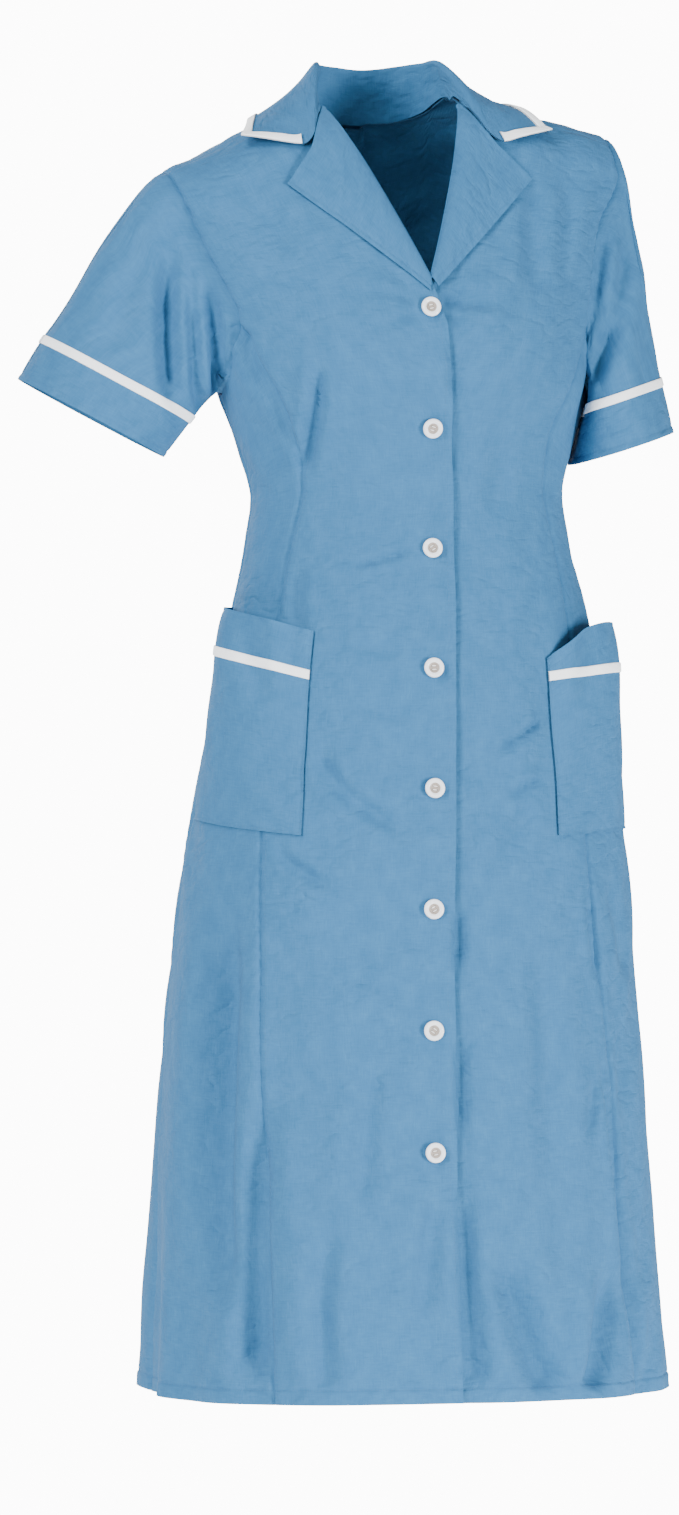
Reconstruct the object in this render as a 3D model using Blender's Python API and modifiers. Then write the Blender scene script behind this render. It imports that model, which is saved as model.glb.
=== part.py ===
"""Nurse uniform dress: knee length, short sleeves, notched collar, princess seams, patch pockets.

The dress hangs as on a wearer who stands with a hand in each pocket: hollow and open at the neck,
cuffs and hem. Metres, +Z up, the front faces -Y, the wearer's right is -X. The origin is between
the shoulders at the base of the neck. Heights are measured from there, so they are negative.
Points on the body are first worked out in a level frame of their own section (x to the wearer's
left, y to the back) and then turned and moved with that section.
"""

import math

import bmesh
import bpy
import numpy as np
from mathutils import Matrix

# Cloth and seams
CLOTH = 0.0015
TRIM_THICKNESS = 0.0010
TRIM_CLEAR = 0.0007
HALF_SEAM = 0.00015
LAY_ON = 0.0009
TRIM_WIDTH = 0.008

# Body sections, hem to neck: height, centre across, half width, depth to front and back, turn
SECTION_COLUMNS = ("height", "centre", "half_width", "front", "back", "turn")
SECTIONS = (
    (-1.095, 0.0115, 0.2240, 0.182, 0.192, 0.0),
    (-0.943, 0.0096, 0.2137, 0.170, 0.178, 0.0),
    (-0.852, 0.0102, 0.2070, 0.161, 0.168, 0.0),
    (-0.743, 0.0108, 0.1980, 0.150, 0.157, 0.0),
    (-0.663, 0.0128, 0.1905, 0.142, 0.149, 0.0),
    (-0.602, 0.0145, 0.1815, 0.136, 0.143, 0.0),
    (-0.548, 0.0153, 0.1730, 0.130, 0.138, 0.0),
    (-0.481, 0.0160, 0.1610, 0.123, 0.130, 0.0),
    (-0.433, 0.0160, 0.1500, 0.116, 0.119, 0.5),
    (-0.374, 0.0148, 0.1380, 0.106, 0.101, 1.5),
    (-0.339, 0.0145, 0.1335, 0.103, 0.095, 2.0),
    (-0.300, 0.0120, 0.1420, 0.110, 0.096, 2.5),
    (-0.255, 0.0094, 0.1560, 0.121, 0.102, 3.5),
    (-0.200, 0.0060, 0.1680, 0.122, 0.108, 4.0),
    (-0.150, 0.0030, 0.1850, 0.110, 0.110, 4.5),
    (-0.100, 0.0000, 0.2050, 0.091, 0.101, 4.5),
    (-0.060, -0.0030, 0.2200, 0.072, 0.086, 4.5),
    (-0.020, -0.0080, 0.2300, 0.054, 0.066, 4.0),
    (0.040, -0.0110, 0.2300, 0.044, 0.054, 4.0),
)
SQUARENESS = 2.2
FRONT_HEM = -1.088
SIDE_HEM = -1.094

# Shoulders and neck
NECK_HALF = 0.057
SHOULDER_HALF = 0.194
SHOULDER_FALL_RIGHT = 0.420
SHOULDER_FALL_LEFT = 0.268
SHOULDER_TILT = 0.045
SHOULDER_ROUND = 0.038
BACK_NECK_DIP = 0.016

# Armhole edge: height, distance from the middle on the right front, the left front and the back
UNDERARM = -0.255
ARMHOLE = (
    (UNDERARM, 0.1560, 0.1560, 0.1560),
    (-0.245, 0.1535, 0.1530, 0.1555),
    (-0.220, 0.1500, 0.1495, 0.1560),
    (-0.190, 0.1510, 0.1500, 0.1590),
    (-0.160, 0.1630, 0.1555, 0.1645),
    (-0.130, 0.1760, 0.1630, 0.1710),
    (-0.100, 0.1860, 0.1740, 0.1790),
    (-0.084, 0.1905, 0.1850, 0.1865),
    (-0.068, SHOULDER_HALF, SHOULDER_HALF, SHOULDER_HALF),
)

# Princess seams: height, share of the half width on the wearer's right and left
PRINCESS_TOP = -0.200
PRINCESS = (
    (-1.095, 0.600, 0.830),
    (-0.943, 0.640, 0.800),
    (-0.830, 0.675, 0.780),
    (-0.720, 0.705, 0.745),
    (-0.626, 0.745, 0.735),
    (-0.480, 0.800, 0.790),
    (-0.397, 0.815, 0.815),
    (-0.325, 0.770, 0.770),
    (-0.283, 0.760, 0.760),
    (-0.252, 0.810, 0.810),
    (PRINCESS_TOP, 0.8888, 0.8888),
)

# Front edges below the point of the V: height, reach of the right front and of the left front
BREAK_POINT = (0.003, -0.157)
FRONT_EDGE = (
    (-1.095, 0.0190, -0.017),
    (-0.700, 0.0180, -0.017),
    (-0.280, 0.0165, -0.017),
    (-0.235, 0.0150, -0.015),
    (-0.195, 0.0110, -0.008),
    (BREAK_POINT[1], BREAK_POINT[0], BREAK_POINT[0]),
)
UNDERLAP = 0.0024

# Collar and lapels, on the half at +x: across and height
GORGE_ROLL = (0.060, -0.012)
NOTCH = (0.081, -0.049)
COLLAR_TIP = (0.134, -0.039)
LAPEL_TIP = (0.106, -0.080)
LAPEL_NOTCH_GAP = 0.0060
GORGE_GAP = 0.0050
LAPEL_END = (0.0095, -0.168)
LAPEL_ROLL_START = (0.0090, -0.150)
LAPEL_LIFT = 0.0045
# Stations from the middle of the back to the shoulder: across of the neck seam, fold and outer edge
COLLAR_STATIONS = (
    (0.000, (0.000, 0.0520, 0.0300), (0.000, 0.0860, -0.0400)),
    (0.028, (0.027, 0.0460, 0.0310), (0.046, 0.0840, -0.0390)),
    (0.048, (0.045, 0.0270, 0.0310), (0.086, 0.0600, -0.0350)),
    (NECK_HALF, (0.054, 0.0000, 0.0280), (0.111, 0.0060, -0.0180)),
)
COLLAR_SEAT = 0.0006
COLLAR_CLEAR = 0.0034
COLLAR_NOTCH_ROW = 2.7

# Sleeves: hem centre, half size outward and half size forward, all from the origin
SLEEVE_RIGHT = ((-0.2560, -0.004, -0.2750), (-0.0595, 0.000, 0.0312), (0.006, -0.060, -0.009))
SLEEVE_LEFT = ((0.2010, 0.004, -0.2960), (0.0440, 0.000, 0.0145), (-0.006, -0.072, -0.004))
CUFF_DEPTHS = (0.0395, 0.0445)
SLEEVE_CLEAR = 0.0045
SEAM_REACH = 0.008
CAP_REACH = 0.024

# Pockets: share across from the princess side to the side seam, height of the right and left mouth
POCKET_MOUTH = ((0.0, -0.4560, -0.478), (0.25, -0.4500, -0.459), (1.0, -0.4345, -0.452))
POCKET_BOTTOM = ((0.0, -0.6250, -0.6255), (1.0, -0.6120, -0.6200))
POCKET_INNER = ((-0.626, 35.5), (-0.450, 38.5))
POCKET_OUTER = 86.5
POCKET_SWELL = 0.020
POCKET_TRIM = ((0.0, -0.4885, -0.4890), (0.25, -0.4820, -0.4865), (1.0, -0.4665, -0.4830))

# Buttons
BUTTONS = 8
FIRST_BUTTON = -0.188
BUTTON_SPACING = 0.0995
BUTTON_SEAT = 0.00076
BUTTON_PROFILE = (
    (0.0000, 0.0000), (0.0076, 0.0000), (0.0082, 0.0010), (0.0082, 0.0024),
    (0.0074, 0.0034), (0.0060, 0.0032), (0.0050, 0.0020), (0.0000, 0.0018),
)
BUTTON_STEPS = 16

# Soft flutes of the skirt: angle from the front, width in degrees, height where it starts, depth
FLUTES = (
    (-86.0, 7.0, -0.78, -0.0110),
    (-64.0, 9.0, -0.60, -0.0100),
    (-42.0, 8.0, -0.74, -0.0060),
    (-22.0, 8.0, -0.80, 0.0030),
    (30.0, 9.0, -0.78, -0.0045),
    (57.0, 8.0, -0.66, -0.0080),
    (80.0, 9.0, -0.82, 0.0010),
    (104.0, 9.0, -0.72, -0.0080),
    (128.0, 10.0, -0.66, 0.0070),
    (150.0, 9.0, -0.60, -0.0100),
    (172.0, 9.0, -0.70, 0.0070),
    (-166.0, 8.0, -0.64, -0.0090),
    (-145.0, 9.0, -0.70, 0.0060),
    (-124.0, 9.0, -0.62, -0.0100),
    (-103.0, 9.0, -0.74, 0.0030),
)
# Fullness over the bust: across, height, spread and depth, on both sides
BUST = (0.080, -0.215, 0.052, 0.0065)

# Grid of the panels
SKIRT_ROWS = (
    -1.095, -1.050, -1.000, -0.950, -0.900, -0.850, -0.800, -0.750, -0.700, -0.650, -0.600,
    -0.555, -0.510, -0.470, -0.435, -0.400, -0.370, -0.340, -0.310, -0.280, UNDERARM,
)
LEVEL_BELOW = -0.370
FRONT_COLUMNS = 10
SIDE_COLUMNS = 6
UPPER_ROWS = 9
BACK_SHOULDER_COLUMNS = 7
BACK_NECK_COLUMNS = 6
SLEEVE_ROWS = 6
POCKET_ROWS = 7
POCKET_COLUMNS = 8


def smooth_step(value):
    value = min(max(value, 0.0), 1.0)
    return value * value * (3 - 2 * value)


def lerp(start, end, share):
    return start + (end - start) * share


def look_up(table, column, height):
    """A column of a table read as a smooth curve of its first column."""
    heights = [row[0] for row in table]
    values = [row[column] for row in table]
    if height <= heights[0]:
        return values[0]
    if height >= heights[-1]:
        return values[-1]
    slopes = np.gradient(values, heights)
    upper = next(i for i, known in enumerate(heights) if known >= height)
    lower = upper - 1
    step = heights[upper] - heights[lower]
    share = (height - heights[lower]) / step
    rise = 3 * share**2 - 2 * share**3
    start_slope = (share**3 - 2 * share**2 + share) * step * slopes[lower]
    end_slope = (share**3 - share**2) * step * slopes[upper]
    return lerp(values[lower], values[upper], rise) + start_slope + end_slope


def section(name, height):
    return look_up(SECTIONS, SECTION_COLUMNS.index(name), height)


def shoulder_height(across):
    """Height of the shoulder seam, and of its line run on over the neck."""
    fall = SHOULDER_FALL_RIGHT if across < 0 else SHOULDER_FALL_LEFT
    if abs(across) < NECK_HALF:
        fall = (SHOULDER_FALL_RIGHT + SHOULDER_FALL_LEFT) / 2
    return SHOULDER_TILT * across - fall * (abs(across) - NECK_HALF)


def signed_power(value, power):
    return math.copysign(abs(value) ** power, value)


def depth_squared(across, height, side):
    """Square of the body's depth there: negative outside the body's outline. side is -1 front, 1 back."""
    depth = section("back" if side > 0 else "front", height)
    share = abs(across) / section("half_width", height)
    fullness = signed_power(1 - share**SQUARENESS, 2 / SQUARENESS)
    below = min((shoulder_height(across) - height) / SHOULDER_ROUND, 1.0)
    rounding = below * (2 - below)
    if fullness < 0 and rounding < 0:
        rounding = -rounding
    return depth * depth * fullness * rounding


def outward(across, depth, height, side):
    """The body's outward direction and how steeply its outline changes, at a point on or near it."""
    step = 0.0004
    across_slope = depth_squared(across + step, height, side) - depth_squared(across - step, height, side)
    height_slope = depth_squared(across, height + step, side) - depth_squared(across, height - step, side)
    gradient = np.array((-across_slope / (2 * step), 2 * depth, -height_slope / (2 * step)))
    length = np.linalg.norm(gradient)
    return gradient / length, length


def angle_of(across, height, side):
    """Angle round the body from the middle of the front, in degrees, positive to the wearer's left."""
    share = min(max(across / section("half_width", height), -1.0), 1.0)
    angle = math.degrees(math.asin(share))
    if side < 0:
        return angle
    return math.copysign(180.0, angle) - angle


def relief(across, height, side):
    """How far the flutes and the bust move the cloth out."""
    angle = angle_of(across, height, side)
    total = 0.0
    for centre, width, top, depth in FLUTES:
        away = (angle - centre + 180.0) % 360.0 - 180.0
        total += depth * smooth_step((top - height) / (top - SIDE_HEM)) * math.exp(-((away / width) ** 2))
    if side < 0:
        centre, level, spread, depth = BUST
        away = math.hypot(abs(across) - centre, height - level)
        total += depth * math.exp(-((away / spread) ** 2))
    return total


def to_world(point):
    """Turns and moves a point with the section at its height."""
    turn = math.radians(section("turn", point[2]))
    across = point[0] * math.cos(turn) - point[1] * math.sin(turn)
    depth = point[0] * math.sin(turn) + point[1] * math.cos(turn)
    return np.array((across + section("centre", point[2]), depth, point[2]))


def on_body(across, height, side, out=0.0):
    """A point of the dress in the level frame, moved out from the cloth's outer face."""
    depth = side * math.sqrt(max(depth_squared(across, height, side), 0.0))
    direction, _ = outward(across, depth, height, side)
    return np.array((across, depth, height)) + direction * (relief(across, height, side) + out)


def hem_height(across, height, side):
    """The hem rises a little at the front; the rest of the skirt follows less and less."""
    share = min(abs(across) / section("half_width", height), 1.0)
    lift = (FRONT_HEM - SIDE_HEM) * (1 - share * share) if side < 0 else 0.0
    from_hem = smooth_step((height - SKIRT_ROWS[0]) / (SKIRT_ROWS[5] - SKIRT_ROWS[0]))
    return height + (lift + SIDE_HEM - SKIRT_ROWS[0]) * (1 - from_hem)


def front_row(height):
    """The height on the princess seam of the skirt row whose height at the side seam is given."""
    share = smooth_step((height - LEVEL_BELOW) / (UNDERARM - LEVEL_BELOW))
    return height + (PRINCESS_TOP - UNDERARM) * share


def princess(hand, height):
    """Distance of the princess seam from the middle. hand is -1 for the wearer's right, 1 for the left."""
    column = 1 if hand < 0 else 2
    return look_up(PRINCESS, column, height) * section("half_width", height)


def armhole(hand, height):
    """Distance of a front's armhole edge from the middle."""
    return look_up(ARMHOLE, 1 if hand < 0 else 2, height)


def front_edge(hand, height):
    """Across of the front's inner edge: the roll line, and below the V the buttoned edge."""
    if height <= BREAK_POINT[1]:
        return look_up(FRONT_EDGE, 1 if hand < 0 else 2, height)
    return hand * roll_line(hand, height)


def roll_line(hand, height):
    """Distance of the roll line from the middle, towards the given hand."""
    start = hand * BREAK_POINT[0]
    if height <= GORGE_ROLL[1]:
        share = (height - BREAK_POINT[1]) / (GORGE_ROLL[1] - BREAK_POINT[1])
        return lerp(start, GORGE_ROLL[0], share)
    top = shoulder_height(hand * NECK_HALF)
    share = (height - GORGE_ROLL[1]) / (top - GORGE_ROLL[1])
    return lerp(GORGE_ROLL[0], NECK_HALF, min(share, 1.0))


def underlap(hand, across, height):
    """How far the left front lies under the right one."""
    if hand < 0:
        return 0.0
    beside = 1 - smooth_step((across - 0.022) / 0.016)
    below = 1 - smooth_step((height - BREAK_POINT[1]) / 0.020)
    return UNDERLAP * beside * below


def upper_shares():
    """Rows from the top of the princess seam to the shoulder, closer together near the shoulder."""
    return [1 - (1 - i / UPPER_ROWS) ** 1.5 for i in range(UPPER_ROWS + 1)]


def front_grid(hand, inside=0.0):
    """Rows of points of a front: from its inner edge to the princess seam, then to the armhole."""
    rows = []
    for level in SKIRT_ROWS:
        height = front_row(level)
        row = []
        for i in range(FRONT_COLUMNS + 1):
            share = i / FRONT_COLUMNS
            seam = hand * (princess(hand, height) - HALF_SEAM)
            across = lerp(front_edge(hand, height), seam, share)
            placed = hem_height(across, height, -1)
            out = -inside - underlap(hand, across, height)
            row.append(on_body(across, placed, -1, out))
        rows.append(row)
    tip = hand * SHOULDER_HALF
    for share_up in upper_shares()[1:]:
        inner_height = lerp(PRINCESS_TOP, shoulder_height(hand * NECK_HALF), share_up)
        outer_height = lerp(PRINCESS_TOP, shoulder_height(tip), share_up)
        inner = front_edge(hand, inner_height)
        outer = hand * (armhole(hand, outer_height) - HALF_SEAM)
        row = []
        for i in range(FRONT_COLUMNS + 1):
            share = i / FRONT_COLUMNS
            across = lerp(inner, outer, share)
            height = lerp(inner_height, outer_height, share)
            if share_up == 1.0:
                height = shoulder_height(across)
            out = -inside - underlap(hand, across, height)
            row.append(on_body(across, height, -1, out))
        rows.append(row)
    for i in range(FRONT_COLUMNS + 1):
        rows[-1][i][1] -= HALF_SEAM
    return rows


def side_grid(hand, inside=0.0):
    """Rows of points of a side front: from the princess seam to the side seam, up to the armhole."""
    rows = []
    for level in SKIRT_ROWS:
        row = []
        for i in range(SIDE_COLUMNS + 1):
            share = i / SIDE_COLUMNS
            height = lerp(front_row(level), level, share)
            half = section("half_width", height)
            start = math.asin((princess(hand, height) + HALF_SEAM) / half)
            across = half * math.sin(lerp(start, math.pi / 2, share))
            if level == UNDERARM:
                across = min(armhole(hand, height), half)
                if i == 0:
                    across = princess(hand, height) + HALF_SEAM
                    height -= 4 * HALF_SEAM
            placed = hem_height(across, height, -1)
            point = on_body(hand * across, placed, -1, -inside)
            if i == SIDE_COLUMNS:
                point[1] -= HALF_SEAM
            row.append(point)
        rows.append(row)
    return rows


def back_shares():
    """Columns of the back as shares of its half width, from the wearer's right to the left."""
    neck = math.asin(NECK_HALF / SHOULDER_HALF)
    outer = [lerp(-math.pi / 2, -neck, i / BACK_SHOULDER_COLUMNS) for i in range(BACK_SHOULDER_COLUMNS)]
    middle = [lerp(-neck, neck, i / BACK_NECK_COLUMNS) for i in range(BACK_NECK_COLUMNS)]
    shares = [math.sin(angle) for angle in outer + middle]
    return shares + [-share for share in reversed(shares[:BACK_SHOULDER_COLUMNS + 1])]


def back_top(across):
    """Height of the back's top edge: the shoulder seams and the back neck between them."""
    if abs(across) >= NECK_HALF:
        return shoulder_height(across)
    share = across / NECK_HALF
    return shoulder_height(math.copysign(NECK_HALF, across)) - BACK_NECK_DIP * (1 - share * share) ** 0.6


def back_grid(inside=0.0):
    rows = []
    shares = back_shares()
    for level in SKIRT_ROWS:
        half = section("half_width", level)
        rows.append([on_body(share * half, hem_height(share * half, level, 1), 1, -inside) for share in shares])
    for share_up in upper_shares()[1:]:
        row = []
        for share in shares:
            tip = math.copysign(SHOULDER_HALF, share)
            edge = look_up(ARMHOLE, 3, lerp(UNDERARM, shoulder_height(tip), share_up))
            if share_up == 1.0:
                edge = SHOULDER_HALF
            across = share * edge
            height = lerp(UNDERARM, back_top(share * SHOULDER_HALF), share_up)
            row.append(on_body(across, height, 1, -inside))
        rows.append(row)
    for row in rows:
        row[0][1] += HALF_SEAM
        row[-1][1] += HALF_SEAM
    for point in rows[-1][1:-1]:
        point[1] += HALF_SEAM
    return rows


def back_half(rows, hand):
    """One back panel: from the side seam to the seam down the middle of the back."""
    middle = len(rows[0]) // 2
    half = [row[:middle + 1] if hand < 0 else row[middle:] for row in rows]
    for row in half:
        row[-1 if hand < 0 else 0][0] += hand * HALF_SEAM
    return half


def world_grid(rows):
    return [[to_world(point) for point in row] for row in rows]


def armhole_loop(hand, inside=0.0):
    """The armhole's edge points: down the front from the shoulder tip, under the arm, up the back."""
    front = [row[-1] for row in front_grid(hand, inside)[len(SKIRT_ROWS) - 1:]]
    under = side_grid(hand, inside)[-1]
    column = 0 if hand < 0 else -1
    back = [row[column] for row in back_grid(inside)[len(SKIRT_ROWS):]]
    return list(reversed(front))[:-1] + under + back[:-1]


def unit(vector):
    return vector / np.linalg.norm(vector)


def sleeve_curves(hand):
    """A column of points for each armhole point, from the armhole's edge to the sleeve's hem.

    Returns the columns, and the directions into the cloth at the armhole's edge.
    """
    centre, outer_half, front_half = (np.array(v) for v in (SLEEVE_RIGHT if hand < 0 else SLEEVE_LEFT))
    loop = [to_world(point) for point in armhole_loop(hand)]
    within = [to_world(point) for point in armhole_loop(hand, CLOTH)]
    count = len(loop)
    under = UPPER_ROWS + SIDE_COLUMNS
    lengths = [np.linalg.norm(loop[(i + 1) % count] - loop[i]) for i in range(count)]
    axis = unit(np.cross(outer_half, front_half))
    if axis[2] < 0:
        axis = -axis
    curves = []
    for i in range(count):
        if i <= under:
            angle = math.pi * sum(lengths[:i]) / sum(lengths[:under])
        else:
            angle = math.pi * (1 + sum(lengths[under:i]) / sum(lengths[under:]))
        hem = centre + math.cos(angle) * outer_half + math.sin(angle) * front_half
        along = unit(loop[(i + 1) % count] - loop[i - 1])
        normal = unit(loop[i] - within[i])
        away = unit(np.cross(along, normal)) * -hand
        seam = loop[i] + away * 2 * HALF_SEAM
        turn = seam + away * 0.0025
        reach = SEAM_REACH + CAP_REACH * max(0.0, -float(np.dot(away, axis)))
        first = turn + away * reach
        homeward = unit(axis + unit(turn - hem))
        second = hem + homeward * min(0.45 * np.linalg.norm(hem - turn), 0.085)
        points = [seam]
        for step in range(41):
            t = step / 40
            point = turn * (1 - t) ** 3 + first * 3 * t * (1 - t) ** 2
            point = point + second * 3 * t * t * (1 - t) + hem * t**3
            points.append(clear_of_body(point, SLEEVE_CLEAR * smooth_step(t / 0.08)))
        curves.append(points)
    return curves, [seam_point - inner for seam_point, inner in zip(loop, within)]


def clear_of_body(point, clearance):
    """Moves a point below the underarm out until it is clear of the body."""
    under = smooth_step((UNDERARM + 0.020 - point[2]) / 0.014)
    if under == 0.0:
        return point
    turn = math.radians(section("turn", point[2]))
    for _ in range(4):
        from_middle = point[0] - section("centre", point[2])
        across = from_middle * math.cos(turn) + point[1] * math.sin(turn)
        depth = point[1] * math.cos(turn) - from_middle * math.sin(turn)
        side = -1 if depth < 0 else 1
        direction, slope = outward(across, depth, point[2], side)
        distance = (depth * depth - depth_squared(across, point[2], side)) / slope
        move = max(0.0, clearance - distance) * under
        shift = direction * move
        world_shift = np.array((shift[0] * math.cos(turn) - shift[1] * math.sin(turn),
                                shift[0] * math.sin(turn) + shift[1] * math.cos(turn), 0.0))
        point = point + world_shift
    return point


def from_end(points, distance):
    """The point of a polyline at a distance from its last point."""
    for start, end in zip(reversed(points[:-1]), reversed(points[1:])):
        length = np.linalg.norm(end - start)
        if distance <= length:
            return lerp(end, start, distance / length)
        distance -= length
    return points[0]


def length_of(points):
    return sum(np.linalg.norm(end - start) for start, end in zip(points[:-1], points[1:]))


def sleeve_rows(curves, distances):
    """Rings at the given distances up from the hem."""
    return [[from_end(points, distance) for points in curves] for distance in distances]


def grid_normals(rows, closed):
    """Outward directions of a grid of points; rows run up and columns run round."""
    array = np.array(rows)
    up = np.gradient(array, axis=0)
    if closed:
        along = np.roll(array, -1, axis=1) - np.roll(array, 1, axis=1)
    else:
        along = np.gradient(array, axis=1)
    normals = np.cross(along, up)
    return normals / np.linalg.norm(normals, axis=2, keepdims=True)


def material(name, colour, roughness):
    made = bpy.data.materials.new(name)
    made.use_nodes = True
    shader = made.node_tree.nodes["Principled BSDF"]
    shader.inputs["Base Color"].default_value = (*colour, 1.0)
    shader.inputs["Roughness"].default_value = roughness
    made.diffuse_color = (*colour, 1.0)
    return made


def shell(name, outer, inner, surface, closed=False):
    """A wall between two grids of points that share their rows and columns, closed at its rims."""
    rows, columns = len(outer), len(outer[0])
    bm = bmesh.new()
    out = [[bm.verts.new(point) for point in row] for row in outer]
    within = [[bm.verts.new(point) for point in row] for row in inner]
    across = columns if closed else columns - 1
    for i in range(rows - 1):
        for j in range(across):
            k = (j + 1) % columns
            bm.faces.new((out[i][j], out[i][k], out[i + 1][k], out[i + 1][j]))
            bm.faces.new((within[i][j], within[i + 1][j], within[i + 1][k], within[i][k]))
    for j in range(across):
        k = (j + 1) % columns
        bm.faces.new((out[0][j], within[0][j], within[0][k], out[0][k]))
        bm.faces.new((out[-1][j], out[-1][k], within[-1][k], within[-1][j]))
    if not closed:
        for i in range(rows - 1):
            bm.faces.new((out[i][0], out[i + 1][0], within[i + 1][0], within[i][0]))
            bm.faces.new((out[i][-1], within[i][-1], within[i + 1][-1], out[i + 1][-1]))
    bmesh.ops.recalc_face_normals(bm, faces=bm.faces)
    return finish_mesh(name, bm, surface)


def layer(name, rows, thickness, surface):
    """An open grid given its thickness, which grows to the side that the grid faces."""
    bm = bmesh.new()
    grid = [[bm.verts.new(point) for point in row] for row in rows]
    for lower, upper in zip(grid[:-1], grid[1:]):
        for j in range(len(lower) - 1):
            bm.faces.new((lower[j], lower[j + 1], upper[j + 1], upper[j]))
    piece = finish_mesh(name, bm, surface)
    solidify = piece.modifiers.new("Cloth", "SOLIDIFY")
    solidify.thickness = thickness
    solidify.offset = 1.0
    return piece


def finish_mesh(name, bm, surface):
    mesh = bpy.data.meshes.new(name)
    bm.to_mesh(mesh)
    bm.free()
    mesh.materials.append(surface)
    mesh.shade_smooth()
    mesh.set_sharp_from_angle(angle=math.radians(40))
    piece = bpy.data.objects.new(name, mesh)
    dress.objects.link(piece)
    return piece


def make_body(cloth):
    for hand, name in ((-1, "right"), (1, "left")):
        shell(f"front_{name}", world_grid(front_grid(hand)), world_grid(front_grid(hand, CLOTH)), cloth)
        shell(f"side_front_{name}", world_grid(side_grid(hand)), world_grid(side_grid(hand, CLOTH)), cloth)
        shell(f"back_{name}", world_grid(back_half(back_grid(), hand)),
              world_grid(back_half(back_grid(CLOTH), hand)), cloth)


def make_sleeve(hand, name, cloth, trim):
    curves, into = sleeve_curves(hand)
    cuff_depth = CUFF_DEPTHS[0] if hand < 0 else CUFF_DEPTHS[1]
    seam_distance = cuff_depth + HALF_SEAM
    rows = []
    for i in range(SLEEVE_ROWS + 1):
        row = []
        for points in curves:
            turned = length_of(points[1:])
            row.append(from_end(points, lerp(turned, seam_distance, i / SLEEVE_ROWS)))
        rows.append(row)
    rows.insert(0, [points[0] for points in curves])
    facing = grid_normals(rows, True)
    centre = np.mean(rows[-1], axis=0)
    if np.dot(facing[-1][0], rows[-1][0] - centre) < 0:
        facing = -facing
    inner = [[point - normal * CLOTH for point, normal in zip(row, normals)]
             for row, normals in zip(rows, facing)]
    inner[0] = [point - step for point, step in zip(rows[0], into)]
    shell(f"sleeve_{name}", rows, inner, cloth, closed=True)

    def band(distances, out, thickness, band_name, surface):
        ring = sleeve_rows(curves, distances)
        normals = grid_normals(ring, True)
        if np.dot(normals[-1][0], ring[-1][0] - centre) < 0:
            normals = -normals
        outer = [[p + n * out for p, n in zip(row, ns)] for row, ns in zip(ring, normals)]
        within = [[p + n * (out - thickness) for p, n in zip(row, ns)] for row, ns in zip(ring, normals)]
        shell(band_name, outer, within, surface, closed=True)

    band((cuff_depth - 3 * HALF_SEAM, cuff_depth / 2, 0.0), 0.0, CLOTH, f"cuff_{name}", cloth)
    trim_edges = (cuff_depth + TRIM_WIDTH / 2, cuff_depth, cuff_depth - TRIM_WIDTH / 2)
    band(trim_edges, TRIM_CLEAR + TRIM_THICKNESS, TRIM_THICKNESS, f"cuff_trim_{name}", trim)


def polyline(points, share):
    """The point at a share of the length of a line through some points."""
    points = [np.array(point) for point in points]
    return from_end(points, length_of(points) * (1 - share))


def make_lapel(hand, name, cloth):
    rows = []
    lapel_notch = (NOTCH[0] + LAPEL_NOTCH_GAP * 0.3, NOTCH[1] - LAPEL_NOTCH_GAP)
    top = ((GORGE_ROLL[0], GORGE_ROLL[1] - GORGE_GAP), lapel_notch, LAPEL_TIP)
    for i in range(9):
        up = i / 8
        roll = polyline((LAPEL_ROLL_START, top[0]), up)
        outer = polyline((LAPEL_END, LAPEL_TIP), up)
        row = []
        for j in range(6):
            across = j / 5
            bend = polyline(top, across) - lerp(np.array(top[0]), np.array(top[-1]), across)
            place = lerp(roll, outer, across) + bend * up**3
            soft = LAPEL_LIFT * math.sin(math.pi * across**0.6) * (0.35 + 0.65 * math.sin(math.pi * up))
            lift = LAY_ON + 0.0008 * smooth_step(up) + soft
            height = place[1] + SHOULDER_TILT * hand * place[0]
            row.append(to_world(on_body(hand * place[0], height, -1, lift)))
        rows.append(row if hand > 0 else row[::-1])
    layer(f"lapel_{name}", rows, CLOTH, cloth)


def clear_of_shoulder(point, clearance):
    """Moves a point of the level frame out until it clears the fronts, the back and the shoulder."""
    for _ in range(5):
        side = -1 if point[1] < 0 else 1
        direction, slope = outward(point[0], point[1], point[2], side)
        distance = (point[1] ** 2 - depth_squared(point[0], point[2], side)) / slope
        point = point + direction * max(0.0, clearance - distance)
    return point


def collar_half():
    """Columns from the middle of the back to the front end; each runs from neck seam to outer edge."""
    shares = (0.0, 0.5, 1.0)
    falls = (0.25, 0.5, 0.75, 1.0)
    stations = []
    for neck, fold, edge in COLLAR_STATIONS:
        seam = on_body(neck, back_top(neck), 1)
        seam[2] += COLLAR_SEAT
        fold, edge = np.array(fold), np.array(edge)
        column = [lerp(seam, fold, share) for share in shares]
        for share in falls:
            sag = -0.004 * math.sin(math.pi * share)
            column.append(lerp(fold, edge, share) + np.array((0.0, 0.0, sag)))
        stations.append(column)
    rows = len(stations[0])
    end = []
    for i in range(rows):
        across, height = polyline((GORGE_ROLL, NOTCH, COLLAR_TIP), i / (rows - 1))
        end.append(on_body(across, height, -1, COLLAR_CLEAR))
    lifted = 0.010
    between = []
    for i, (start, finish) in enumerate(zip(stations[-1], end)):
        roll = math.sin(math.pi * i / (rows - 1)) * lifted
        middle = lerp(start, finish, 0.55)
        between.append(middle + np.array((0.0, -0.4, 0.9)) * roll)
    stations += [between, end]
    columns = []
    count = 13
    for i in range(count):
        place = i / (count - 1) * (len(stations) - 1)
        columns.append([curve_through([station[r] for station in stations], place) for r in range(rows)])
    return columns


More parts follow.
